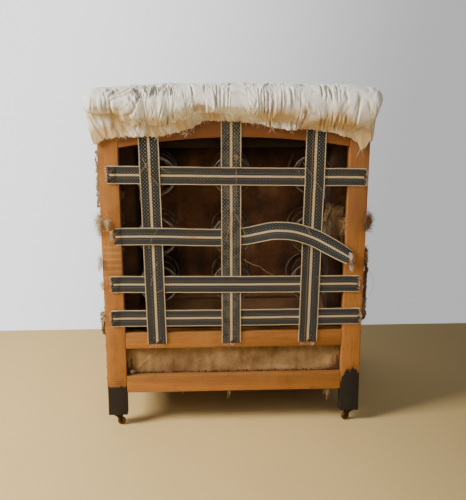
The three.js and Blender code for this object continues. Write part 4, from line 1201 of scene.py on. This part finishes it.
    def folds(self, x, up):
        """How far the hanging flap stands off, and the lines of its few stiff folds."""
        wave = wobble(x * 0.022 + up * 0.006, up * 0.008, 12)
        line = abs(wobble(x * 0.03 - up * 0.013, up * 0.005, 17))
        stands = 5.5 * max(0.0, wave) + 2.6 * max(0.0, 1 - abs(line - 0.22) * 6)
        return stands + 5.0 * math.exp(-((x + 155) / 20) ** 2), 0.8 * max(0.0, 1 - line * 7.0)


def stuffed(source, voxel, cap, pressure, keep):
    """A padded piece from a plain solid: remeshed, blown up by a cloth simulation, and held within a cap.

    keep(point) is True where the pad rests on something, so that it stays put there."""
    apply_modifier(source, "REMESH", mode="VOXEL", voxel_size=voxel, use_smooth_shade=True)
    apply_modifier(source, "SMOOTH", factor=0.6, iterations=6)
    rest = [v.co.copy() for v in source.data.vertices]
    held = [keep(p / MM) for p in rest]
    blown_up(source, held, pressure)
    ends = []
    for vertex, start, fixed in zip(source.data.vertices, rest, held):
        move = Vector() if fixed else vertex.co - start
        if move.length > cap * MM:
            move = move.normalized() * cap * MM
        ends.extend(start + move)
    source.data.vertices.foreach_set("co", ends)
    source.data.update()
    apply_modifier(source, "SMOOTH", factor=0.5, iterations=2)
    apply_modifier(source, "SUBSURF", levels=1, render_levels=1)
    return source


def blown_up(pad, held, pressure):
    """Twenty frames of a cloth simulation, in which the held points stay where they are."""
    group = pad.vertex_groups.new(name="held")
    group.add([i for i, fixed in enumerate(held) if fixed], 1.0, "REPLACE")
    select_only(pad)
    cloth = pad.modifiers.new("cloth", "CLOTH")
    for key, value in (
        ("use_pressure", True), ("uniform_pressure_force", pressure), ("quality", 5), ("mass", 0.3),
        ("tension_stiffness", 18), ("shrink_min", -0.03), ("vertex_group_mass", "held"),
    ):
        setattr(cloth.settings, key, value)
    cloth.settings.effector_weights.gravity = 0
    cloth.collision_settings.use_collision = False
    scene = bpy.context.scene
    for shown in range(1, 21):
        scene.frame_set(shown)
    bpy.ops.object.modifier_apply(modifier=cloth.name)
    scene.frame_set(1)
    pad.vertex_groups.clear()


def roughen(obj, amount):
    """Moves each point along its normal by amount(point in mm, normal), in millimetres."""
    moved = [v.co + v.normal * amount(v.co / MM, v.normal) * MM for v in obj.data.vertices]
    obj.data.vertices.foreach_set("co", [number for place in moved for number in place])
    obj.data.update()


def paint(obj, key, value):
    values = [value(v.co / MM, v.normal) for v in obj.data.vertices]
    attribute = obj.data.attributes.new(key, "FLOAT", "POINT")
    attribute.data.foreach_set("value", values)


def tangled(point, scale, seed):
    return noise.noise(point * scale + Vector((seed, seed, seed)))


class CHAIR_OT_inside_back(PieceOperator, bpy.types.Operator):
    """Makes the stuffed inside back under the top roll"""
    bl_idname = "chair.inside_back"
    bl_label = "Inside back"

    def make(self, context):
        pad = copy_of_node("back_upholstery", "inside_back_pad")
        pad.data.transform(Matrix.Diagonal((0.994, 1, 1, 1)))
        for place, normal in ((on_back_along(0, -52, 0), OUT_OF_BACK), (on_back_along(0, 0, 598), UP_THE_BACK)):
            edit(pad, (bpy.ops.mesh.bisect, {
                "plane_co": place, "plane_no": normal, "use_fill": True, "clear_outer": True}))
        front = BACK_Y - 178

        def resting(p):
            return p.y > front + 48 + (p.z - KNEE) * math.tan(RAKE) or p.z < KNEE + 2

        pad = stuffed(pad, voxel=0.0065, cap=6, pressure=3.0, keep=resting)

        def creases(p, normal):
            if normal.y > -0.2:
                return 0.0
            fold = ridge(tangled(Vector((p.x * 0.5, p.y, p.z * 1.3)), 0.022, 3), 2.0)
            fine = tangled(p, 0.06, 7) * 0.5
            return 2.2 * fold * max(0.0, tangled(p, 0.007, 2) + 0.3) + fine - 0.8

        roughen(pad, creases)
        paint(pad, "aged", lambda p, n: 0.32 + 0.3 * tangled(p, 0.006, 5) + 0.25 * max(0.0, (420 - p.z) / 200))
        # Painted shade along ridged crease lines of the pad.
        paint(pad, "crease", lambda p, n: max(0.0, ridge(tangled(p, 0.02, 3)) - 0.6))
        finish_piece(pad, calico())


class CHAIR_OT_seat_pad(PieceOperator, bpy.types.Operator):
    """Makes the sunken seat pad and its cover over the front rail"""
    bl_idname = "chair.seat_pad"
    bl_label = "Seat pad"

    def make(self, context):
        pad = copy_of_node("seat_pad", "seat_cushion")
        pad.data.transform(Matrix.Diagonal((0.992, 1, 1, 1)))

        def resting(p):
            return p.z < 290 or p.y < -371 and p.z < 300

        pad = stuffed(pad, voxel=0.0062, cap=7, pressure=3.5, keep=resting)

        def lumps(p, normal):
            if normal.z < 0.1 and p.y > -380:
                return 0.0
            wear = tangled(p, 0.016, 4) * 2.4 * max(0.0, normal.z)
            stitch_row = 1.8 * math.exp(-((p.y + 332) / 5) ** 2) * max(0.0, normal.z)
            lip = 1.4 * math.exp(-((p.z - 372) / 4) ** 2) * max(0.0, -normal.y)
            return wear - stitch_row - lip

        roughen(pad, lumps)
        paint(pad, "soil", lambda p, n: max(0.0, 0.25 + 0.9 * tangled(p, 0.008, 6)) * (0.4 + 0.5 * max(0.0, n.z)))
        finish_piece(pad, hessian("pad"), ["seat_pad"])


class CHAIR_OT_arm_pads(PieceOperator, bpy.types.Operator):
    """Makes the two stuffed arms, rolled over the arm rails"""
    bl_idname = "chair.arm_pads"
    bl_label = "Arm pads"

    def make(self, context):
        for side in SIDES:
            pad = copy_of_node(f"arm_pad_{side}", f"arm_stuffing_{side}")

            def resting(p):
                return abs(p.x) > HALF_INNER - 2 and p.z < 582 or p.z < 330 or p.y > BACK_Y - 44

            pad = stuffed(pad, voxel=0.0062, cap=6, pressure=3.0, keep=resting)

            def lumps(p, normal):
                if p.z < 500:
                    return tangled(p, 0.014, 5) * 1.6 * (abs(p.x) < HALF_INNER - 4)
                edge = 1.6 * math.exp(-((p.y + 366) / 5) ** 2)
                return tangled(p, 0.017, 5) * 2.2 - edge

            roughen(pad, lumps)
            paint(pad, "soil", lambda p, n: max(0.0, 0.2 + 0.9 * tangled(p, 0.009, 8)) * 0.7)
            finish_piece(pad, hessian("pad"), [f"arm_pad_{side}"])


class CHAIR_OT_outside_arms(PieceOperator, bpy.types.Operator):
    """Makes the hessian tacked over the outside of each arm"""
    bl_idname = "chair.outside_arms"
    bl_label = "Outside arm hessian"

    def make(self, context):
        low, high = 108.5, 513.0
        front, rear = -372.5, 288.0
        for side, sign in SIDES.items():
            def place(s, t):
                y, z = front + (rear - front) * s, low + (high - low) * t
                edge = min(1.0, 12 * s, 12 * (1 - s), 12 * t, 12 * (1 - t))
                slack = abs(wobble(y * 0.006, z * 0.01, 4 * sign)) * 3.5
                tension = ridge(wobble(y * 0.02 + z * 0.012, z * 0.008, 2), 2) * 1.6
                frayed = 2.2 * wobble(z * 0.08, 5, sign) * (s > 0.99)
                soil = 0.12 + 0.5 * wobble(y * 0.007, z * 0.009, 3) + 0.35 * (t < 0.05) + 0.2 * (s > 0.97)
                x = HALF_FRAME + 1.6 + (slack + tension) * edge * 0.8
                return Vector((sign * x, y + frayed, z)) * MM, max(0.0, soil)

            sheet = thickened(cloth_grid(f"outside_arm_cloth_{side}", 200, 120, place), 1.0)
            finish_piece(sheet, hessian("panel"), [f"outside_arm_hessian_{side}"])


class CHAIR_OT_seat_webbing(PieceOperator, bpy.types.Operator):
    """Makes the ten woven webs under the seat"""
    bl_idname = "chair.seat_webbing"
    bl_label = "Seat webbing"

    def make(self, context):
        strips = [self.web(centre, SEAT_WEB_Y, n, (-362, 288), True) for n, centre in enumerate(SEAT_WEB_X)]
        strips += [self.web(centre, SEAT_WEB_X, n, (-336, 336), False) for n, centre in enumerate(SEAT_WEB_Y)]
        webs = thickened(joined("seat_webs", strips), 1.5)
        finish_piece(webs, webbing("plain"), ["seat_webbing"], smooth=50)

    def web(self, centre, crossings, n, ends, lengthwise):
        """One web from end to end, over and under the ones that it crosses."""
        count, columns, level, width = 150, 7, 95.8, 51
        points, map_places = [], []
        for i in range(count):
            at = ends[0] + (ends[1] - ends[0]) * i / (count - 1)
            lift = sum((1 if (n + k) % 2 == (not lengthwise) else -1) * within((58 - abs(at - crossing)) / 24)
                       for k, crossing in enumerate(crossings))
            edge = min(at - ends[0], ends[1] - at)
            z = level + lift * min(1.0, edge / 30) - 1.2 * within((edge - 30) / 60)
            for k in range(columns):
                u = k / (columns - 1)
                side = centre + (u - 0.5) * width
                points.append(Vector((side, at, z) if lengthwise else (at, side, z)) * MM)
                map_places.append((u, (at - ends[0]) / width))
        return from_points("web", points, grid_faces(count, columns), map_places)


class CHAIR_OT_tacks(PieceOperator, bpy.types.Operator):
    """Makes the tacks of the webs and the hessian"""
    bl_idname = "chair.tacks"
    bl_label = "Tacks"

    def make(self, context):
        self.rng = random.Random(17)
        self.head = self.head_model(context.scene.chair_sizes.tack_head)
        self.points, self.faces = [], []
        self.web_tacks()
        self.cloth_tacks()
        heads = from_points("tack_heads", self.points, self.faces)
        finish_piece(heads, tack_iron(), smooth=50)
        bpy.data.objects.remove(self.head)

    def head_model(self, width):
        """One domed head."""
        bpy.ops.object.select_all(action="DESELECT")
        bpy.ops.mesh.primitive_uv_sphere_add(segments=9, ring_count=6, radius=width / 2)
        head = bpy.context.object
        edit(head, (bpy.ops.mesh.bisect, {
            "plane_co": (0, 0, 0), "plane_no": (0, 0, 1), "use_fill": True, "clear_inner": True}))
        edit(head, (bpy.ops.transform.resize, {"value": (1, 1, 0.42), "center_override": (0, 0, 0)}))
        return head

    def tack(self, place, normal, size=1.0):
        turn = (normal + shaken(self.rng, 0.14)).to_track_quat("Z", "Y").to_matrix().to_4x4()
        matrix = Matrix.Translation(place) @ turn @ Matrix.Diagonal((*[self.rng.uniform(0.85, 1.1) * size] * 3, 1))
        base = len(self.points)
        self.points += [matrix @ v.co for v in self.head.data.vertices]
        self.faces += [tuple(base + k for k in face.vertices) for face in self.head.data.polygons]

    def web_tacks(self):
        """Five tacks at each end of a web of the back, and three at each end of a web of the seat."""
        top, under_seat = CROSS_LEVEL + 1.95 + 0.85, 94.2
        shake = lambda size: self.rng.uniform(-size, size)
        for ends in CROSS_WEB_ENDS.values():
            for (x, height), inward in zip(ends, (-1, 1)):
                for row, up in ((6, -16), (6, 0), (6, 16), (15, -9), (15, 8)):
                    place = on_back(x + inward * (row + shake(1.2)), top, height + up + shake(1.5))
                    self.tack(place, OUT_OF_BACK)
        for x in (207, 8, -199):
            for row, across in ((7, -18), (7, 0), (7, 17), (15, -9), (15, 9)):
                self.tack(on_back(x + across + shake(1.5), top, 233 + row + shake(1)), OUT_OF_BACK)
        for x in SEAT_WEB_X:
            for y, off in product((-352, 278), (-16, 0, 16)):
                self.tack(Vector((x + off + shake(1.5), y + shake(2), under_seat)) * MM, -UPWARD)
        for y in SEAT_WEB_Y:
            for x, off in product((-326, 326), (-16, 0, 16)):
                self.tack(Vector((x + shake(2), y + off + shake(1.5), under_seat)) * MM, -UPWARD)

    def cloth_tacks(self):
        back = Vector((0, 1, 0))
        x = -278.0
        while x < 280:
            self.tack(Vector((x, BACK_Y - 17.6, 149 + self.rng.uniform(-1.5, 1.5))) * MM, back, 0.7)
            x += self.rng.choice((9, 14, 19, 31))
        for sign in (1, -1):
            side = Vector((sign, 0, 0))
            y = -364.0
            while y < 282:
                self.tack(Vector((sign * (HALF_FRAME + 2.6), y, 118 + self.rng.uniform(-2, 2))) * MM, side)
                y += self.rng.uniform(26, 36)
            z = 134.0
            while z < 500:
                self.tack(Vector((sign * (HALF_FRAME + 2.6), 281 + self.rng.uniform(-1, 1), z)) * MM, side)
                z += self.rng.uniform(24, 34)


class CHAIR_OT_twine(PieceOperator, bpy.types.Operator):
    """Makes the stitching twine of the springs and the threads of the torn webs"""
    bl_idname = "chair.twine"
    bl_label = "Twine"

    def make(self, context):
        radius = context.scene.chair_sizes.twine / 2
        rng = random.Random(23)
        twine = Strands()

        def run(points, sag=2.0, level=6.2):
            """A length of twine over the rear of the webs, through points of (x, height)."""
            path = []
            for (x0, h0), (x1, h1) in zip(points, points[1:]):
                steps = max(4, round(math.dist((x0, h0), (x1, h1)) / 7))
                for k in range(steps):
                    t = k / steps
                    drop = sag * math.sin(math.pi * t)
                    wander = 0.8 * wobble(x0 + t * 3, h0 * 0.1, 2)
                    out = level + 0.8 * math.sin(math.pi * t) + wander * 0.4
                    path.append(on_back(x0 + (x1 - x0) * t + wander, out, h0 + (h1 - h0) * t - drop))
            path.append(on_back(points[-1][0], level - 1.4, points[-1][1]))
            twine.add(path, radius, sides=6, taper=0.9)

        run([(242, 700), (210, 743)])
        run([(-3.6, 742), (-3.9, 668), (-5.5, 641)], sag=0.4)
        run([(22, 524), (13, 566), (3.8, 609), (-14, 570), (-30, 537)], sag=0.5)
        run([(-162, 707), (-173, 681)])
        run([(-174, 727), (-199, 692), (-225, 654)], sag=1.0)
        run([(232, 742), (214, 700), (190, 668)], sag=0.8)
        run([(-186, 560), (-200, 536), (-221, 507)], sag=0.8)
        run([(196, 560), (213, 534), (224, 505)], sag=0.6)
        run([(202, 466), (213, 434), (220, 403)], sag=-1.5)
        run([(-25, 472), (-66, 452), (-110, 424)], sag=3.0, level=3.6)
        run([(164, 703), (186, 716)], sag=0.5)
        run([(-238, 411), (-214, 424)], sag=0.5)
        run([(188, 392), (214, 381)], sag=0.5)
        for k in range(7):
            angle = 2 * math.pi * k / 7 + rng.uniform(-0.3, 0.3)
            reach = rng.uniform(6, 11)
            knot = on_back(-3.6, 6.0, 743)
            tip = on_back(-3.6 + reach * math.cos(angle), 7.5, 743 + reach * math.sin(angle))
            twine.add([knot, (knot + tip) / 2 + Vector((0, 0.001, 0)), tip], 0.75 * MM, sides=5, taper=0.6)
        twine.piece("stitching_twine", fibre("twine"), "webbing")
        self.frays(rng)

    def frays(self, rng):
        """The loose threads of the webs' ends and of the hem, and the bits that hang under the seat."""
        pale = Strands()
        # Each torn end has its place in (x, out, height), its way, its threads, their length and how far they spread
        ends = [
            ((-301, 22, 476), (-0.6, 0.3, -0.8), 70, 15, 20), ((-304, 24, 462), (-0.2, 0.5, -0.8), 60, 13, 6),
            ((318, 4.6, 541), (0.9, 0.4, 0.2), 50, 9, 14), ((-341, 4.5, 687), (-0.8, 0.4, -0.3), 30, 6, 22),
            ((326, 4.5, 699), (0.8, 0.4, 0.3), 24, 6, 22), ((328, 4.5, 407), (0.8, 0.4, 0.3), 30, 6, 22),
            ((-335, 4.5, 400), (-0.8, 0.4, -0.3), 30, 6, 22), ((331, 4.5, 311), (0.8, 0.4, -0.3), 24, 6, 22),
            ((-341, 4.5, 308), (-0.8, 0.4, -0.3), 24, 6, 22), ((-199, 4.5, 233), (0, 0.5, -1), 24, 5, 3),
            ((207, 4.5, 234), (0.2, 0.5, -1), 24, 5, 3), ((8, 4.5, 234), (0.2, 0.5, -1), 20, 5, 3),
        ]
        for (x, out, height), way, count, length, spread in ends:
            for _ in range(count):
                wide = 20 if abs(way[0]) < 0.3 and spread < 5 else 3
                inward = 4.5 * round(way[0]) if abs(x) > 305 else 0
                root = on_back(x - inward + rng.uniform(-wide, wide), out + rng.uniform(-1, 2),
                               height + rng.uniform(-spread, spread))
                pale.wisp(root, Vector(way), rng.uniform(0.4, 1.5) * length * MM, 0.34 * MM, 0.5, rng, droop=0.12)
        for _ in range(230):
            x = rng.uniform(-350, 350)
            root = on_back(x, 8.5, HEM(x) + 3)
            pale.wisp(root, Vector((rng.uniform(-0.9, 0.9), 0.4, -1)), (4 + 9 * rng.random() ** 3) * MM,
                      0.3 * MM, 0.4, rng, droop=0.15)
        for x, length in ((-95, 22), (-141, 14), (118, 26), (106, 18), (-318, 26), (-60, 18), (196, 15)):
            for _ in range(3):
                root = on_back(x + rng.uniform(-3, 3), 8.5, HEM(x) + 2)
                pale.wisp(root, Vector((rng.uniform(-0.6, 0.6), 0.5, -1)), length * MM * rng.uniform(0.6, 1.1),
                          0.3 * MM, 0.35, rng, droop=0.2)
        for spot in ((124, 3, 803), (119, 3, 800)):
            for _ in range(5):
                pale.wisp(on_back(*spot), Vector((rng.uniform(-1, 1), 0.4, rng.uniform(-0.6, 0.4))), 11 * MM,
                          0.5 * MM, 0.25, rng)
        for _ in range(26):
            root = Vector((278 + rng.uniform(-4, 4), BACK_Y - 14, 152 + rng.uniform(-4, 4))) * MM
            pale.wisp(root, Vector((rng.uniform(-1, 1), 1, rng.uniform(-1, 1))), 8 * MM, 0.5 * MM, 0.9, rng)
        pale.piece("frayed_threads", fibre("pale"), "calico")
        jute = Strands()
        for x, length in ((17, 22), (12, 14), (-256, 34), (-262, 20), (-250, 16), (140, 9), (-60, 8)):
            for _ in range(3):
                root = Vector((x + rng.uniform(-2, 2), BACK_Y - 3, 98)) * MM
                jute.wisp(root, Vector((rng.uniform(-0.3, 0.3), 0.35, -1)), length * MM, 0.45 * MM, 0.3, rng,
                          droop=0.5)
        jute.piece("hanging_bits", fibre("jute"), "hessian")


def rag(name, corners, bulge, seed, columns, ripple):
    """A crumpled scrap of cloth between four corners, in (x, out, height)."""
    rows, frayed = 60, 5.0
    a, b, c, d = (on_back(*corner) for corner in corners)
    normal = (b - a).cross(d - a).normalized()

    def place(s, t):
        flat = (a * (1 - s) + b * s) * (1 - t) + (d * (1 - s) + c * s) * t
        fold = ridge(wobble(s * 2.6 + seed, t * 1.6 + 0.7 * s, seed)) * ripple
        small = wobble(s * 9, t * 7, seed + 4) * 1.8
        edge = min(s, t, 1 - s, 1 - t)
        push = bulge * math.sin(math.pi * s) * math.sin(math.pi * t) + (fold + small) * min(1.0, edge * 9 + 0.3)
        slide = Vector((wobble(t * 9, seed, 1) + wobble(t * 27, seed, 3), 0, wobble(s * 15, seed, 2)))
        soil = max(0.0, 0.15 + 0.8 * wobble(s * 3, t * 5, seed + 1))
        return flat + normal * push * MM + slide * frayed * MM * (edge < 0.2), soil

    obj = cloth_grid(name, columns, rows, place)
    grid = [[obj.data.vertices[r * columns + k].co for k in range(columns)] for r in range(rows)]
    wide, tall = (sum((b - a).length for line in lines for a, b in zip(line, line[1:])) / len(lines)
                  for lines in (grid, list(zip(*grid))))
    area = sum(face.area for face in obj.data.polygons)
    apply_modifier(obj, "SOLIDIFY", thickness=0.9 * MM, offset=0)
    return obj, (wide, tall), min(area, wide * tall)


class CHAIR_OT_torn_edges(PieceOperator, bpy.types.Operator):
    """Makes the folds, tufts and ragged edges of old cover beside the posts"""
    bl_idname = "chair.torn_edges"
    bl_label = "Torn edges and hair"

    def make(self, context):
        # Each scrap has its four corners in (x, out, height), how far it bulges, and a seed
        scraps = (
            ("fold_inside_right", ((-290, -22, 604), (-246, -46, 612), (-232, -50, 500), (-291, -20, 484)), 12, 3),
            ("fold_inside_left", ((291, -24, 650), (266, -46, 640), (270, -46, 566), (291, -22, 562)), 8, 8),
            ("edge_strip_left", ((346, -6, 762), (350, 1.0, 758), (351, 0, 610), (346.5, -8, 614)), 1, 12),
            ("edge_scrap_left", ((346, -8, 330), (356, -1, 326), (354, -2, 268), (346, -8, 262)), 3, 15),
            ("edge_scrap_right", ((-346, -8, 500), (-352, 0, 492), (-354, -1, 300), (-346, -8, 290)), 2, 21),
        )
        for name, corners, bulge, seed in scraps:
            columns, ripple = (12, 2.5) if name.startswith("edge") else (46, 11.0)
            scrap, flat, area = rag(name, corners, bulge, seed, columns, ripple)
            if name == "edge_strip_left":
                paint(scrap, "aged", lambda p, n: 0.3)
                # A little painted crease shade, the same all over the strip.
                paint(scrap, "crease", lambda p, n: 0.2)
                finish_piece(scrap, calico())
            else:
                # The scraps in shade get the darker painted-shade copy of the hessian; the lit left scrap gets the
                # plain one.
                finish_piece(scrap, hessian("pad" if name == "edge_scrap_left" else "rag"))
            "back_post_right" if "right" in name else "back_post_left"
        self.hair()

    def hair(self):
        """Tufts of stuffing and thread that stick out beside the posts."""
        rng = random.Random(41)
        # Each tuft has its place in (x, out, height), how far it spreads, its hairs, their way and their length
        tufts = {
            "fluff": [(347, 0, 574, 22, 330, (1, 0.5, -0.2), 21), (326, 3, 573, 14, 190, (0.2, 0.4, -0.4), 13),
                      (346, -4, 548, 12, 90, (1, 0.3, -0.5), 15), (347, -2, 470, 22, 170, (1, 0.4, -0.6), 15),
                      (346, -4, 402, 12, 90, (1, 0.4, -0.4), 13), (346, -4, 318, 16, 130, (1, 0.4, -0.6), 16),
                      (346, -6, 200, 18, 40, (1, 0.4, -0.6), 8)],
            "curled": [(-338, 5, 566, 22, 420, (-0.5, 0.3, 0.2), 24), (-347, 4, 572, 22, 330, (-1, 0.3, 0.1), 20),
                       (-347, -2, 470, 34, 180, (-1, 0.4, -0.6), 13), (-347, -2, 330, 40, 130, (-1, 0.4, -0.5), 12)],
            "hair": [(-346, -6, 450, 60, 190, (-1, 0.4, -0.5), 12), (-346, -6, 340, 50, 150, (-1, 0.4, -0.5), 12),
                     (292, -30, 505, 24, 150, (-1, 0.5, -0.3), 26), (292, -26, 610, 40, 90, (-1, 0.4, -0.6), 20),
                     (-292, -26, 640, 70, 240, (1, 0.4, -0.4), 26), (-292, -30, 540, 40, 220, (1, 0.4, -0.5), 26)],
            "jute": [(-292, -10, 560, 30, 60, (1, 0.7, -0.5), 16), (293, -12, 520, 20, 30, (-1, 0.6, -0.5), 14),
                     (352, 0, 455, 22, 26, (1, 0.5, -0.8), 10)],
        }
        for kind, places in tufts.items():
            strands = Strands()
            for x, out, height, spread, count, way, length in places:
                for _ in range(count):
                    root = on_back(x + rng.uniform(-1.5, 1.5), out + rng.uniform(-9, 7),
                                   height + rng.gauss(0, 0.45) * spread)
                    lean = Vector(way) + shaken(rng, 0.7)
                    strands.wisp(root, lean, length * rng.uniform(0.5, 1.35) * MM,
                                 (0.24 if kind == "hair" else 0.34) * MM, 0.9, rng, steps=7)
            if kind == "fluff":
                thread = [on_back(348 + 5.5 * k, 1 + 0.8 * k, 560 - 0.9 * k * k + 3 * k) for k in range(8)]
                strands.add(thread, 0.3 * MM, sides=4)
            if kind == "jute":
                loop = [on_back(-350 - 22 * math.sin(math.pi * k / 14), 1 + 0.2 * k, 448 - 7.0 * k)
                        for k in range(15)]
                strands.add(loop, 0.5 * MM, sides=5, taper=1.0)
            strands.piece("tufts_" + kind, fibre(kind), "hessian")


class CHAIR_OT_castors(PieceOperator, bpy.types.Operator):
    """Finishes the four castors, each on its own bodies"""
    bl_idname = "chair.castors"
    bl_label = "Castors"

    def make(self, context):
        for corner in ("back_left", "back_right", "front_left", "front_right"):
            for part, metal, body in (("plate", "iron", "root"), ("horn", "iron", "castor_" + corner),
                                      ("wheel", "brass", "wheel_" + corner)):
                node = f"castor_{part}_{corner}"
                piece = copy_of_node(node, f"smooth_{part}_{corner}")
                apply_modifier(piece, "BEVEL", width=0.0004, segments=2, limit_method="ANGLE",
                               angle_limit=math.radians(30))
                finish_piece(piece, castor_metal(metal), [node], body=body, smooth=35)


class CHAIR_PT_pieces(bpy.types.Panel):
    """Lists the pieces of the chair in the order that they are made"""
    bl_label = "Stripped armchair"
    bl_idname = "CHAIR_PT_pieces"
    bl_space_type = "VIEW_3D"
    bl_region_type = "UI"
    bl_category = "Armchair"

    def draw(self, context):
        layout = self.layout
        for operator in PIECES:
            layout.operator(operator.bl_idname)
        for group in (context.scene.chair_sizes, context.scene.chair_colours):
            box = layout.box()
            for key in group.__annotations__:
                box.prop(group, key)


PIECES = (
    CHAIR_OT_stage,
    CHAIR_OT_beech_frame,
    CHAIR_OT_back_webbing,
    CHAIR_OT_seat_webbing,
    CHAIR_OT_springs,
    CHAIR_OT_spring_canvas,
    CHAIR_OT_seat_back_hessian,
    CHAIR_OT_top_roll,
    CHAIR_OT_inside_back,
    CHAIR_OT_seat_pad,
    CHAIR_OT_arm_pads,
    CHAIR_OT_outside_arms,
    CHAIR_OT_tacks,
    CHAIR_OT_twine,
    CHAIR_OT_torn_edges,
    CHAIR_OT_castors,
)
CLASSES = (ChairColours, ChairSizes, *PIECES, CHAIR_PT_pieces)


def register():
    for cls in CLASSES:
        bpy.utils.register_class(cls)
    bpy.types.Scene.chair_colours = bpy.props.PointerProperty(type=ChairColours)
    bpy.types.Scene.chair_sizes = bpy.props.PointerProperty(type=ChairSizes)


def unregister():
    del bpy.types.Scene.chair_sizes
    del bpy.types.Scene.chair_colours
    for cls in reversed(CLASSES):
        bpy.utils.unregister_class(cls)


def main():
    register()
    for operator in PIECES:
        group, name = operator.bl_idname.split(".")
        getattr(getattr(bpy.ops, group), name)()
    boxes = {"cad": CAD_BOX, "visual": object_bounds()}
    sizes = {key: [list(low), list(high)] for key, (low, high) in boxes.items()}


if __name__ == "__main__":
    main()
